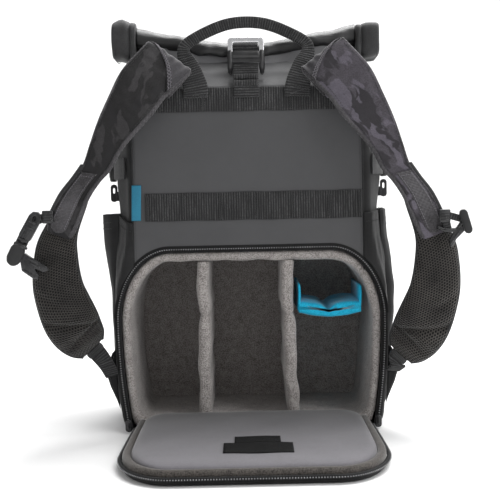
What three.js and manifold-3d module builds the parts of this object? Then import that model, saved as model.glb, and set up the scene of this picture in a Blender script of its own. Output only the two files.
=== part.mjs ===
// Camera backpack with a roll top. It stands on its base with the harness side toward -Y,
// its back door let down on the floor and its shoulder straps standing clear of the panel.
// Lengths are millimetres, +Z is up, and the origin is the middle of the bag's base.
import * as THREE from 'three';
import Module from 'manifold-3d';
import { mergeVertices } from 'three/addons/utils/BufferGeometryUtils.js';

const wasm = await Module();
wasm.setup();

// Clearance between pieces that touch on the real bag
const GAP = 0.3;

// Bag body
const BODY_HEIGHT = 391;
const BODY_HALF_WIDTH = 147;
const HALF_DEPTH = 80;
const SHELL_WALL = 2.5;
const REAR_CORNER = 6;
const FRONT_CORNER = 26;
const FRONT_SWELL = 4;
const TOP_RISE = 4.5;

// Doorway in the harness side, its zip and the door that closes it
const DOORWAY = {
  half: BODY_HALF_WIDTH - 6.5, lowHalf: BODY_HALF_WIDTH - 16, low: 3.5, top: BODY_HEIGHT - 198,
  cornerWide: 56, cornerTall: 75,
};
const ZIP_WIDTH = 6.5;
const ZIP_THICK = 2.5;
const ZIP_START = 8;
const SLIDER = { wide: 7, tall: 13, thick: 4 };
const FLAP = {
  half: DOORWAY.half - 17.5, lowHalf: DOORWAY.lowHalf - 10, low: 0, top: DOORWAY.top + 12,
  cornerWide: 50, cornerTall: 80,
};
const TRAY_FLOOR = 4;
const TRAY_RIM_TALL = 13;
const TRAY_RIM_WIDE = 8;
const TRAY_LIFT = 0.4;
const DOOR_PAD_TALL = { hinge: 17, front: 10 };
const DOOR_PAD_CROWN = 1.5;
const DOOR_ZIP_TALL = 4.5;
const DOOR_ZIP_WIDE = 3.2;

// Padded compartment behind the doorway
const LINING_WALL = 9.7;
const LINING_DEPTH = 136;
const DIVIDER_THICK = 13.5;
const DIVIDER_PINCH = 1.2;
const DIVIDER_BACK = 3;
const DIVIDER_LEFT_X = -0.34 * BODY_HALF_WIDTH;
const DIVIDER_RIGHT_X = 0.279 * BODY_HALF_WIDTH;
const SHELF_THICK = 12;
const SHELF_Z = DOORWAY.top - 64;
const SHELF_DIP = 9;
const SHELF_TAB_TALL = 26;
const SHELF_TAB_THICK = 3;
const SHELF_TAB_STEP = 6;
const SHELF_SIDE_CLEAR = 2;
const SHELF_CREASE_SHIFT = -3;
const SHELF_BACK = 12;
const SHELF_DEPTH = 95;

// Rolled top and its end cuffs
const ROLL_HALF_LENGTH = BODY_HALF_WIDTH - 30;
const ROLL_HALF_TALL = 15;
const ROLL_HALF_DEEP = 24;
const ROLL_SAG = 16;
const ROLL_Y = -HALF_DEPTH + 50;
const CUFF_LENGTH = 25;
const CUFF_OVER = 5;
const CUFF_DROP = 3;

// Webbing
const WEB_THICK = 2;
const BAND_UPPER = { x: 0, wide: 2 * BODY_HALF_WIDTH - 70, low: BODY_HEIGHT - 55, tall: 25 };
const BAND_LOWER = { x: 5, wide: 2 * BODY_HALF_WIDTH - 66, low: BODY_HEIGHT - 168, tall: 29 };
const LABEL = {
  x: BAND_LOWER.x - BAND_LOWER.wide / 2 - 9, low: BAND_LOWER.low + 1, wide: 10, tall: 37, thick: 1,
};

// Carry handle
const HANDLE_HALF_SPAN = 53;
const HANDLE_BASE_WIDE = 26;
const HANDLE_GRIP_WIDE = 12;
const HANDLE_RISE = 80;
const HANDLE_BASE_Z = BODY_HEIGHT - 41;
const HANDLE_STAND = 14;
const HANDLE_THICK = 5;

// Closure over the roll
const CLOSURE_WIDE = 26;
const CLOSURE_X = -0.5;
const HOOK = {
  half: 19, low: BODY_HEIGHT + 1, top: BODY_HEIGHT + 22, bar: 5, thick: 3, rear: -HALF_DEPTH + 9.5,
};
const KEEPER_TALL = 18;
const KEEPER_BAR = 4.5;
const KEEPER_THICK = 4;
const KEEPER_CORNER = { wide: 2, tall: 3 };
const CLOSURE_EASE = 0.4;
const CLOSURE_TAIL = { stand: 6, topStand: 1.6, below: 1 };
const CLOSURE_END = { above: 2, back: 0.5 };

// Shoulder straps
const STRAP_REACH = BODY_HALF_WIDTH + 47;
const STRAP_FORWARD = 45;
const STRAP_WIDE = 56;
const YOKE_THICK = 4;
const PAD_THICK = 12;
const STRAP_WEB_WIDE = 16;
const SWING = { left: 8, right: -6 };
const LIFT = { left: 10, right: -6 };
const HARDWARE_THICK = 6;
const SLIDER_THICK = 4.5;
const ROLLED_WEB = { front: 2, back: 0.5 };
const RAIL = { wide: 3.6, thick: 3, endStand: 2.4, stand: 3.6, firstRow: 8, lastRow: 11 };
const LOCK_LONG = 7;
const LOCK_GAP = 1.1;
const LOCK_OVER = 4;
const LOWER_WEB_BOW = 2;
const WING_WIDE = 11;
const WING_TALL = 0.164 * BODY_HEIGHT;
const WING_TOP = 0.225 * BODY_HEIGHT;
const WING_THICK = 3.6;
const WING_Y = -HALF_DEPTH + 4.4;

// Side pockets and compression straps
const POCKET_LOW = 22;
const POCKET_MOUTH = BODY_HEIGHT - 159;
const POCKET_WALL = 1.5;
const POCKET_REAR = -HALF_DEPTH + 22;
const POCKET_FRONT = HALF_DEPTH - 30;
const POCKET_DEEP = 20;
const POCKET_HEADROOM = 5;
const COMPRESSION = {
  low: BODY_HEIGHT - 123, tall: 22, lockRear: -HALF_DEPTH + 46, lockTall: 26, lockDeep: 20, lockThick: 6,
  seamStand: 1.6, seamIn: 4, ease: 0.3, bend: 1, straight: 20,
};
const CORD_LOOP = { below: 15, low: 9, tall: 19, wide: 7, cord: 2.2, rear: -HALF_DEPTH / 2, deep: 4 };

// Outline of a divider from floor to ceiling; full is 0 where its cross seam pinches it.
const DIVIDER_ROWS = [
  { share: 0, full: 1 }, { share: 0.25, full: 1 }, { share: 0.5, full: 0.98 }, { share: 0.62, full: 0 },
  { share: 0.68, full: 0 }, { share: 0.82, full: 1 }, { share: 1, full: 1 },
];

// Cross sections of the body. height is a share of the body's height, back and side are shares
// of its half width, and rear, front and slope are shares of its half depth.
const BODY_SECTIONS = [
  { height: 0, back: 0.9, side: 0.905, rear: 1, front: 0.95, slope: 0.08 },
  { height: 0.013, back: 0.93, side: 0.93, rear: 1, front: 0.98, slope: 0.1 },
  { height: 0.036, back: 0.95, side: 0.95, rear: 1, front: 1, slope: 0.12 },
  { height: 0.102, back: 0.968, side: 0.97, rear: 1, front: 1.02, slope: 0.16 },
  { height: 0.243, back: 0.985, side: 0.975, rear: 1, front: 1.03, slope: 0.18 },
  { height: 0.384, back: 0.965, side: 0.972, rear: 1, front: 1.03, slope: 0.22 },
  { height: 0.455, back: 0.92, side: 0.968, rear: 1, front: 1.02, slope: 0.28 },
  { height: 0.512, back: 0.885, side: 0.955, rear: 1, front: 1.01, slope: 0.34 },
  { height: 0.593, back: 0.872, side: 0.945, rear: 1, front: 0.99, slope: 0.4 },
  { height: 0.67, back: 0.872, side: 0.97, rear: 1, front: 0.98, slope: 0.42 },
  { height: 0.87, back: 0.872, side: 0.968, rear: 1, front: 0.86, slope: 0.45 },
  { height: 0.923, back: 0.865, side: 0.955, rear: 0.99, front: 0.7, slope: 0.45 },
  { height: 0.967, back: 0.85, side: 0.93, rear: 0.82, front: 0.34, slope: 0.35 },
  { height: 1, back: 0.77, side: 0.79, rear: 0.65, front: -0.1, slope: 0.1 },
];

// Stations of a yoke, from its sewn end up to the fold and down its front. x is a share of the
// strap's reach, height of the body's height, out of the strap's forward stand, wide of its width.
const YOKE_STATIONS = [
  { x: 0.536, height: 0.928, out: 0.096, wide: 0.89, lean: -37 },
  { x: 0.474, height: 0.965, out: 0.102, wide: 0.93, lean: -37 },
  { x: 0.411, height: 1.001, out: 0.19, wide: 0.95, lean: -37 },
  { x: 0.433, height: 0.988, out: 0.31, wide: 0.95, lean: -37 },
  { x: 0.538, height: 0.929, out: 0.53, wide: 0.909, lean: -34 },
  { x: 0.606, height: 0.87, out: 0.67, wide: 0.821, lean: -26 },
  { x: 0.672, height: 0.816, out: 0.76, wide: 0.686, lean: -20 },
  { x: 0.731, height: 0.76, out: 0.82, wide: 0.545, lean: -12 },
  { x: 0.775, height: 0.71, out: 0.84, wide: 0.475, lean: -10 },
  { x: 0.827, height: 0.676, out: 0.85, wide: 0.43, lean: -9 },
  { x: 0.889, height: 0.632, out: 0.855, wide: 0.46, lean: -10 },
  { x: 0.953, height: 0.565, out: 0.855, wide: 0.5, lean: -18 },
  { x: 0.977, height: 0.529, out: 0.855, wide: 0.4, lean: -20 },
];

// Stations of a mesh pad, from behind the yoke's end down to the webbing, in the same shares.
const PAD_STATIONS = [
  { x: 0.887, height: 0.639, out: 0.7, wide: 0.43, lean: 4, thick: 0.7 },
  { x: 0.914, height: 0.607, out: 0.675, wide: 0.52, lean: 6, thick: 0.9 },
  { x: 0.986, height: 0.526, out: 0.662, wide: 0.666, lean: 5, thick: 1 },
  { x: 1, height: 0.466, out: 0.65, wide: 0.768, lean: 1, thick: 1 },
  { x: 0.993, height: 0.402, out: 0.65, wide: 0.875, lean: 3, thick: 1 },
  { x: 0.969, height: 0.353, out: 0.61, wide: 0.95, lean: 12, thick: 1 },
  { x: 0.932, height: 0.298, out: 0.5, wide: 1, lean: 22, thick: 1 },
  { x: 0.897, height: 0.259, out: 0.34, wide: 0.936, lean: 32, thick: 0.9 },
  { x: 0.857, height: 0.231, out: 0.22, wide: 0.77, lean: 38, thick: 0.75 },
  { x: 0.829, height: 0.215, out: 0.15, wide: 0.5, lean: 43, thick: 0.5 },
];

// Outline of the cloth wing outside the seam, as shares of its width and height.
const WING_OUTLINE = [
  { out: 0, up: 0 }, { out: 0.2, up: 0.14 }, { out: 0.72, up: 0.38 }, { out: 1, up: 0.56 },
  { out: 0.82, up: 0.75 }, { out: 0.36, up: 0.94 }, { out: 0, up: 1 },
];

// How far each side pocket stands off the body, as shares of the pocket's depth.
const POCKET_SECTIONS = [
  { share: 0, left: 0.2, right: 0.2 },
  { share: 0.09, left: 0.36, right: 0.38 },
  { share: 0.35, left: 0.34, right: 0.5 },
  { share: 0.61, left: 0.42, right: 0.62 },
  { share: 0.74, left: 0.66, right: 0.55 },
  { share: 0.85, left: 0.84, right: 0.42 },
  { share: 1, left: 0.98, right: 0.42 },
];

// Plan of a pocket from its back edge to its front one: reach is a share of its stand off the
// body, along a share of its length.
const POCKET_PLAN = [
  { reach: 0, along: 0 }, { reach: 0.62, along: 0.04 }, { reach: 1, along: 0.17 }, { reach: 1, along: 0.5 },
  { reach: 1, along: 0.83 }, { reach: 0.62, along: 0.96 }, { reach: 0, along: 1 },
];

// Sections of the roll from its middle to its end: along is a share of the half length,
// drop of the sag, tall and deep of the half height and half depth.
const ROLL_SECTIONS = [
  { along: 0, drop: 1, tall: 0.7, deep: 1 },
  { along: 0.2, drop: 0.94, tall: 0.7, deep: 1 },
  { along: 0.42, drop: 0.75, tall: 0.76, deep: 0.98 },
  { along: 0.6, drop: 0.38, tall: 0.68, deep: 0.95 },
  { along: 0.8, drop: 0.2, tall: 0.7, deep: 0.93 },
  { along: 1, drop: 0, tall: 0.86, deep: 0.9 },
];

// Sections of an end cuff from the roll outward, as shares of the cuff's length and section.
const CUFF_SECTIONS = [
  { along: 0, size: 0.9, lift: 0 },
  { along: 0.16, size: 1, lift: 0.02 },
  { along: 0.5, size: 1.06, lift: 0.12 },
  { along: 0.88, size: 0.98, lift: 0.04 },
  { along: 1, size: 0.84, lift: 0 },
];

// Closure webbing up the front, as shares of the body's half depth and height, then over the
// roll, as shares of the roll's half depth and half height.
const CLOSURE_FRONT = [
  { depth: 1.055, height: 0.767 }, { depth: 0.96, height: 0.875 }, { depth: 0.825, height: 0.931 },
  { depth: 0.4775, height: 0.985 }, { depth: 0.025, height: 1.028 },
];
const CLOSURE_OVER = [
  { deep: 0.67, tall: -0.07 }, { deep: 0, tall: 0.04 }, { deep: -0.67, tall: -0.07 },
  { deep: -1.17, tall: -0.4 },
];

// Carry handle from one sewn leg to the middle of its grip, as shares of half span, rise, stand
// back from the band, width and thickness.
const GRIP_SHARE = HANDLE_GRIP_WIDE / HANDLE_BASE_WIDE;
const HANDLE_ROWS = [
  { span: 1, rise: 0, stand: 0, wide: 1, thick: 0.44 },
  { span: 1.01, rise: 0.16, stand: 0, wide: 1, thick: 0.44 },
  { span: 1.12, rise: 0.42, stand: 0.38, wide: 0.8, thick: 0.52 },
  { span: 1.23, rise: 0.62, stand: 0.71, wide: 0.52, thick: 0.8 },
  { span: 1.14, rise: 0.74, stand: 0.88, wide: GRIP_SHARE, thick: 1 },
  { span: 0.8, rise: 0.87, stand: 1, wide: GRIP_SHARE, thick: 1 },
  { span: 0.4, rise: 0.97, stand: 1, wide: GRIP_SHARE, thick: 1 },
  { span: 0, rise: 1, stand: 1, wide: GRIP_SHARE, thick: 1 },
];

// Sternum strap pieces, drawn outward and up from the lower end of the strap's edge rail
const STERNUM_SLIDER = [{ out: -7, up: -6 }, { out: 4.4, up: -6 }, { out: 4.4, up: 7 }, { out: -7, up: 7 }];
const STERNUM_LOOP = { from: { out: 11, up: 0 }, to: { out: 22, up: -19 }, wide: 13 };
const STERNUM_EYE = { from: { out: 11.5, up: 0 }, to: { out: 12.5, up: -2 }, wide: 4.5 };
const STERNUM_ROLL = {
  left: { from: { out: 29.2, up: -31.5 }, to: { out: 34, up: -41 }, wide: 15 },
  right: { from: { out: 17, up: 3 }, to: { out: 22, up: -14 }, wide: 8 },
};
const STERNUM_CLIP = {
  left: [
    { out: 22.3, up: -35.2 }, { out: 13, up: -42 }, { out: 1, up: -49 }, { out: -1, up: -53 },
    { out: 4, up: -55 }, { out: 12, up: -51 }, { out: 13, up: -52 }, { out: 9, up: -58 },
    { out: 10, up: -62 }, { out: 15, up: -61 }, { out: 26, up: -53 }, { out: 27.05, up: -44.7 },
  ],
  right: [
    { out: 14.7, up: -4.7 }, { out: 9.6, up: -12 }, { out: -3, up: -12 }, { out: -9, up: -9 },
    { out: -9, up: -12.5 }, { out: -2, up: -16 }, { out: 7, up: -16 }, { out: 3, up: -24 },
    { out: 3, up: -31 }, { out: 5.5, up: -31 }, { out: 10, up: -23 }, { out: 17.85, up: -15.3 },
  ],
};

const COLORS = {
  coated: 0x545456, gusset: 0x3b3b3c, webbing: 0x303031, camo: 0x434145, mesh: 0x2c2b2a,
  lining: 0x8a8583, doorPad: 0x78767a, teal: 0x1a93b5, silver: 0xc9c9cc, plastic: 0x2a2a2b,
  zip: 0x1b1b1c, label: 0x111112,
};

const pack = new THREE.Group();

function addPiece(name, geometry, color, roughness = 0.85, metalness = 0) {
  const material = new THREE.MeshStandardMaterial({ color, roughness, metalness });
  const mesh = new THREE.Mesh(geometry, material);
  mesh.name = name;
  pack.add(mesh);
  return mesh;
}

// Turns a geometry's faces outward if its signed volume is negative.
function facingOut(geometry) {
  const position = geometry.getAttribute('position');
  const index = geometry.getIndex();
  const corner = [new THREE.Vector3(), new THREE.Vector3(), new THREE.Vector3()];
  let volume = 0;
  for (let i = 0; i < index.count; i += 3) {
    corner.forEach((point, k) => point.fromBufferAttribute(position, index.getX(i + k)));
    volume += corner[0].dot(corner[1].clone().cross(corner[2]));
  }
  if (volume < 0) {
    for (let i = 0; i < index.count; i += 3) {
      const kept = index.getX(i);
      index.setX(i, index.getX(i + 1));
      index.setX(i + 1, kept);
    }
  }
  geometry.computeVertexNormals();
  return geometry;
}

// Skins a row of rings that have the same number of points, and closes both ends. The last
// end closes on its own middle, or on a given crown point.
function loft(rings, crown = null) {
  const size = rings[0].length;
  const points = rings.flat();
  const faces = [];
  for (let r = 0; r + 1 < rings.length; r += 1) {
    for (let i = 0; i < size; i += 1) {
      const next = (i + 1) % size;
      const a = r * size + i;
      const b = r * size + next;
      faces.push(a, b, a + size, b, b + size, a + size);
    }
  }
  for (const last of [false, true]) {
    const ring = last ? rings.at(-1) : rings[0];
    const start = last ? size * (rings.length - 1) : 0;
    const middle = ring.reduce((sum, p) => sum.add(p), new THREE.Vector3()).divideScalar(size);
    const hub = points.push(last && crown ? crown : middle) - 1;
    for (let i = 0; i < size; i += 1) {
      const a = start + i;
      const b = start + (i + 1) % size;
      faces.push(...(last ? [a, b, hub] : [b, a, hub]));
    }
  }
  const geometry = new THREE.BufferGeometry();
  const flat = points.flatMap((p) => [p.x, p.y, p.z]);
  geometry.setAttribute('position', new THREE.Float32BufferAttribute(flat, 3));
  geometry.setIndex(faces);
  return facingOut(geometry);
}

function toSolid(geometry) {
  const bare = geometry.clone();
  bare.deleteAttribute('normal');
  bare.deleteAttribute('uv');
  const merged = mergeVertices(bare, 1e-4);
  const vertProperties = new Float32Array(merged.getAttribute('position').array);
  const triVerts = new Uint32Array(merged.getIndex().array);
  return new wasm.Manifold(new wasm.Mesh({ numProp: 3, vertProperties, triVerts }));
}

function fromSolid(solid) {
  const { vertProperties, triVerts, numProp } = solid.getMesh();
  const flat = [];
  for (let i = 0; i < vertProperties.length; i += numProp) {
    flat.push(vertProperties[i], vertProperties[i + 1], vertProperties[i + 2]);
  }
  const geometry = new THREE.BufferGeometry();
  geometry.setAttribute('position', new THREE.Float32BufferAttribute(flat, 3));
  geometry.setIndex([...triVerts]);
  return facingOut(geometry);
}

function carve(geometry, ...cutters) {
  return fromSolid(cutters.reduce((solid, cutter) => solid.subtract(toSolid(cutter)), toSolid(geometry)));
}

// Outline of a plate, with its holes; every ring is turned the same way round.
function shapeOf(points, holes = []) {
  const turned = (ring) => {
    const flat = ring.map(([x, y]) => new THREE.Vector2(x, y));
    return THREE.ShapeUtils.isClockWise(flat) ? flat.reverse() : flat;
  };
  const shape = new THREE.Shape(turned(points));
  shape.holes = holes.map((hole) => new THREE.Path(turned(hole)));
  return shape;
}

function extrude(shape, depth) {
  const geometry = new THREE.ExtrudeGeometry(shape, { depth, bevelEnabled: false, steps: 1 });
  return mergeVertices(stripped(geometry), 1e-4);
}

function stripped(geometry) {
  geometry.deleteAttribute('normal');
  geometry.deleteAttribute('uv');
  return geometry;
}

// A plate whose outline is drawn in X and Z, between two Y places.
function uprightPlate(shape, nearY, farY) {
  const geometry = extrude(shape, farY - nearY);
  geometry.rotateX(Math.PI / 2);
  geometry.translate(0, farY, 0);
  return facingOut(geometry);
}

// A plate whose outline is drawn in Y and Z, between two X places.
function sidePlate(shape, nearX, farX) {
  const geometry = extrude(shape, farX - nearX);
  const axes = [new THREE.Vector3(0, 1, 0), new THREE.Vector3(0, 0, 1), new THREE.Vector3(1, 0, 0)];
  geometry.applyMatrix4(new THREE.Matrix4().makeBasis(...axes));
  geometry.translate(nearX, 0, 0);
  return facingOut(geometry);
}

function roundedRect(lowX, lowY, wide, tall, radius, turns = 2) {
  const points = [];
  const r = Math.min(radius, wide / 2, tall / 2);
  const centres = [[lowX + wide - r, lowY + r, -90], [lowX + wide - r, lowY + tall - r, 0],
    [lowX + r, lowY + tall - r, 90], [lowX + r, lowY + r, 180]];
  for (const [cx, cy, start] of centres) {
    for (let i = 0; i <= turns; i += 1) {
      const angle = THREE.MathUtils.degToRad(start + (90 * i) / turns);
      points.push([cx + r * Math.cos(angle), cy + r * Math.sin(angle)]);
    }
  }
  return points;
}

// Round-ended bar between two points of a drawing plane.
function barOutline(from, to, wide, turns = 4) {
  const along = Math.atan2(to[1] - from[1], to[0] - from[0]);
  const points = [];
  for (const [centre, start] of [[to, along - Math.PI / 2], [from, along + Math.PI / 2]]) {
    for (let i = 0; i <= turns; i += 1) {
      const angle = start + (Math.PI * i) / turns;
      points.push([centre[0] + (wide / 2) * Math.cos(angle), centre[1] + (wide / 2) * Math.sin(angle)]);
    }
  }
  return points;
}

// Half width of a door outline at a height: elliptic upper corners over sides that draw in below.
function outlineHalf(outline, inset, z) {
  const crown = outline.top - outline.cornerTall;
  const straight = outline.half - outline.cornerWide;
  if (z > crown) {
    const up = Math.min(1, (z - crown) / (outline.cornerTall - inset));
    return straight + (outline.cornerWide - inset) * Math.sqrt(1 - up * up);
  }
  const down = (crown - z) / (crown - outline.low);
  return outline.half - inset - (outline.half - outline.lowHalf) * down * down;
}

// Points of a door outline from its lower left corner over the top to its lower right corner.
function outlinePoints(outline, inset, low = outline.low, cornerSteps = 7) {
  const crown = outline.top - outline.cornerTall;
  const right = [];
  for (let i = 0; i < 4; i += 1) {
    const z = low + ((crown - low) * i) / 4;
    right.push([outlineHalf(outline, inset, z), z]);
  }
  for (let i = 0; i <= cornerSteps; i += 1) {
    const angle = ((Math.PI / 2) * i) / cornerSteps;
    right.push([
      outline.half - outline.cornerWide + (outline.cornerWide - inset) * Math.cos(angle),
      crown + (outline.cornerTall - inset) * Math.sin(angle),
    ]);
  }
  const left = right.map(([x, z]) => [-x, z]);
  return [...left, ...right.reverse()];
}

// Band that follows a door outline, open at the foot.
function outlineBand(outline, outerInset, innerInset, low) {
  const outer = outlinePoints(outline, outerInset, low);
  const inner = outlinePoints(outline, innerInset, low);
  return [...outer, ...inner.reverse()];
}

function bodyMeasure(column, z) {
  const height = z / BODY_HEIGHT;
  const above = Math.max(1, BODY_SECTIONS.findIndex((row) => row.height >= height));
  const low = BODY_SECTIONS[above - 1];
  const high = BODY_SECTIONS[above];
  const share = (height - low.height) / (high.height - low.height);
  return low[column] + (high[column] - low[column]) * share;
}

function bodyRing(row, wall) {
  const back = row.back * BODY_HALF_WIDTH - wall;
  const side = row.side * BODY_HALF_WIDTH - wall;
  const rear = -row.rear * HALF_DEPTH + wall;
  const front = row.front * HALF_DEPTH - wall;
  const rearCorner = Math.max(1, REAR_CORNER - wall);
  const frontCorner = Math.min(FRONT_CORNER - wall, (front - rear) * 0.3);
  const slopeEnd = rear + row.slope * HALF_DEPTH;
  const cornerCut = 1 - Math.SQRT1_2;
  const half = [
    [back / 2, rear],
    [back - rearCorner, rear],
    [back - rearCorner * cornerCut, rear + rearCorner * cornerCut],
    [back, Math.min(rear + rearCorner, slopeEnd)],
    [side, slopeEnd + GAP],
    [side, (slopeEnd + front - frontCorner) / 2],
    [side, front - frontCorner],
    [side - frontCorner * cornerCut, front - frontCorner * cornerCut],
    [side - frontCorner, front],
    [(side - frontCorner) / 2, front + FRONT_SWELL],
  ];
  const outline = [
    [0, rear], ...half, [0, front + FRONT_SWELL], ...half.map(([x, y]) => [-x, y]).reverse(),
  ];
  const lastShare = row.height === 1 ? 1 : 0;
  const level = row.height * BODY_HEIGHT + (row.height === 0 ? wall : 0) - lastShare * wall;
  return outline.map(([x, y]) => new THREE.Vector3(x, y, level + lastShare * TOP_RISE * (x / side) ** 2));
}

// Sewn cloth shell, hollow, with the doorway cut through its harness side
function makeShell() {
  const crownY = ((BODY_SECTIONS.at(-1).front - BODY_SECTIONS.at(-1).rear) / 2) * HALF_DEPTH;
  const skin = (wall) => loft(
    BODY_SECTIONS.map((row) => bodyRing(row, wall)),
    new THREE.Vector3(0, crownY, BODY_HEIGHT - wall),
  );
  const outer = skin(0);
  const inner = skin(SHELL_WALL);
  const cutInset = ZIP_WIDTH / 2;
  const doorway = shapeOf(outlinePoints(DOORWAY, cutInset));
  const cutter = uprightPlate(doorway, -HALF_DEPTH - 5, -HALF_DEPTH + SHELL_WALL + 1);
  addPiece('bag_shell', carve(outer, inner, cutter), COLORS.coated, 0.7);
}

// Padded lining that fills the doorway, open toward the harness side
function makeLining() {
  const outerInset = ZIP_WIDTH / 2 + GAP;
  const near = -HALF_DEPTH + SHELL_WALL + GAP;
  const far = near + LINING_DEPTH;
  const outerLow = SHELL_WALL + GAP;
  const outer = uprightPlate(shapeOf(outlinePoints(DOORWAY, outerInset, outerLow)), near, far);
  const innerPoints = outlinePoints(DOORWAY, outerInset + LINING_WALL, outerLow + LINING_WALL);
  const hollow = uprightPlate(shapeOf(innerPoints), near - 5, far - LINING_WALL);
  addPiece('compartment_lining', carve(outer, hollow), COLORS.lining, 0.95);
}

const LINING = {
  inset: ZIP_WIDTH / 2 + GAP + LINING_WALL,
  floor: SHELL_WALL + GAP + LINING_WALL,
  ceiling: DOORWAY.top - ZIP_WIDTH / 2 - GAP - LINING_WALL,
  near: -HALF_DEPTH + SHELL_WALL + GAP,
  far: -HALF_DEPTH + SHELL_WALL + GAP + LINING_DEPTH - LINING_WALL,
};

// Padded divider that stands between floor and ceiling, creased by a cross seam
function makeDivider(name, x, bow) {
  const low = LINING.floor + GAP;
  const tall = LINING.ceiling - GAP - low;
  const side = (sign) => DIVIDER_ROWS.map(({ share, full }) => {
    const half = DIVIDER_THICK / 2 - DIVIDER_PINCH * (1 - full);
    return [x + bow * (1 - share) ** 2 + sign * half, low + share * tall];
  });
  const outline = [...side(1), ...side(-1).reverse()];
  const plate = uprightPlate(shapeOf(outline), LINING.near + DIVIDER_BACK, LINING.far - GAP);
  addPiece(name, plate, COLORS.lining, 0.95);
}

// Folding shelf with a V crease and turned-up ends, held between the right divider and the lining
function makeShelf() {
  const left = DIVIDER_RIGHT_X + DIVIDER_THICK / 2 + GAP + SHELF_SIDE_CLEAR;
  const right = outlineHalf(DOORWAY, LINING.inset, SHELF_Z + SHELF_TAB_TALL) - GAP;
  const middle = (left + right) / 2 + SHELF_CREASE_SHIFT;
  const top = SHELF_Z + SHELF_THICK / 2;
  const low = SHELF_Z - SHELF_THICK / 2;
  const tabTop = low + SHELF_THICK + SHELF_TAB_TALL;
  const outline = [
    [left, low], [(left + middle) / 2, low - SHELF_DIP * 0.3], [middle, low - SHELF_DIP * 0.5],
    [(right + middle) / 2, low - SHELF_DIP * 0.2], [right, low], [right, tabTop - SHELF_TAB_STEP],
    [right - SHELF_TAB_THICK, tabTop - SHELF_TAB_STEP], [right - SHELF_TAB_THICK, top],
    [(right + middle) / 2, top - SHELF_DIP * 0.3], [middle, top - SHELF_DIP],
    [(left + middle) / 2, top - SHELF_DIP * 0.35],
    [left + SHELF_TAB_THICK, top], [left + SHELF_TAB_THICK, tabTop], [left, tabTop],
  ];
  const near = LINING.near + SHELF_BACK;
  addPiece('divider_shelf', uprightPlate(shapeOf(outline), near, near + SHELF_DEPTH), COLORS.teal, 0.8);
}

// Coil zip around the doorway and around the door, with a slider at each end
function makeZips() {
  const face = -HALF_DEPTH - GAP;
  const band = outlineBand(DOORWAY, -ZIP_WIDTH / 2, ZIP_WIDTH / 2, ZIP_START);
  addPiece('zip_track_body', uprightPlate(shapeOf(band), face - ZIP_THICK, face), COLORS.zip, 0.6);
  const doorBand = outlineBand(FLAP, -GAP - DOOR_ZIP_WIDE, -GAP, SLIDER.tall + 1);
  const doorTrack = floorPlate(shapeOf(doorBand), TRAY_LIFT + TRAY_FLOOR, DOOR_ZIP_TALL);
  addPiece('zip_track_door', doorTrack, COLORS.zip, 0.6);
  const sliderFar = face - ZIP_THICK - GAP;
  for (const [side, sign] of [['left', -1], ['right', 1]]) {
    const x = sign * outlineHalf(DOORWAY, 0, ZIP_START) - SLIDER.wide / 2;
    const outline = roundedRect(x, ZIP_START - SLIDER.tall / 2, SLIDER.wide, SLIDER.tall, 3);
    const slider = uprightPlate(shapeOf(outline), sliderFar - SLIDER.thick, sliderFar);
    addPiece(`zip_slider_${side}`, slider, COLORS.plastic, 0.5);
  }
}

// A plate lying on the floor in front of the hinge, drawn with its length away from the bag.
function floorPlate(shape, low, tall) {
  const geometry = extrude(shape, tall);
  geometry.rotateX(Math.PI);
  geometry.translate(0, -HALF_DEPTH - GAP, low + tall);
  return facingOut(geometry);
}

// Let-down door: a cloth tray with a piped rim, a crowned pad in it and a sewn label
function makeDoor() {
  const tray = floorPlate(shapeOf(outlinePoints(FLAP, 0)), TRAY_LIFT, TRAY_RIM_TALL);
  const well = outlinePoints(FLAP, TRAY_RIM_WIDE, FLAP.low - 5);
  const hollow = floorPlate(shapeOf(well), TRAY_LIFT + TRAY_FLOOR, TRAY_RIM_TALL);
  addPiece('door_tray', carve(tray, hollow), COLORS.gusset, 0.8);

  const padLow = TRAY_LIFT + TRAY_FLOOR + GAP;
  const slope = (DOOR_PAD_TALL.front - DOOR_PAD_TALL.hinge) / (FLAP.top - FLAP.low);
  const topAt = (v, share) => padLow + (DOOR_PAD_TALL.hinge + slope * v) * share;
  const layers = [
    { inset: 1, share: 0 }, { inset: 0, share: 0.55 }, { inset: 3, share: 0.92 }, { inset: 14, share: 1 },
  ];
  const rings = layers.map(({ inset, share }) => {
    const start = 2 + inset;
    return outlinePoints(FLAP, TRAY_RIM_WIDE + GAP + inset, start).map(([x, v]) => (
      new THREE.Vector3(x, -HALF_DEPTH - GAP - v, topAt(v, share) + (share === 1 ? DOOR_PAD_CROWN : 0))
    ));
  });
  addPiece('door_pad', loft(rings), COLORS.doorPad, 0.9);

  const labelRows = [
    { name: 'door_label', near: 0.659, far: 0.81, left: -0.228, right: 0.293 },
    { name: 'door_label_small', near: 0.546, far: 0.654, left: -0.146, right: 0.203 },
  ];
  for (const { name, near, far, left, right } of labelRows) {
    const corners = [[left, near], [right, near], [right, far], [left, far]]
      .map(([across, along]) => [across * FLAP.half, along * FLAP.top]);
    const layer = (lift) => corners.map(([x, v]) => (
      new THREE.Vector3(x, -HALF_DEPTH - GAP - v, topAt(v, 1) + DOOR_PAD_CROWN + GAP + lift)
    ));
    addPiece(name, loft([layer(0), layer(LABEL.thick)]), COLORS.label, 0.7);
  }
}

const WEB_PROFILE = [[-1, 0], [-0.95, 1], [0.95, 1], [1, 0], [0.95, -1], [-0.95, -1]];
const PAD_PROFILE = [
  [-1, 0], [-0.9, 0.7], [-0.45, 1], [0.45, 1], [0.9, 0.7],
  [1, 0], [0.9, -0.7], [0.45, -1], [-0.45, -1], [-0.9, -0.7],
];

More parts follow.
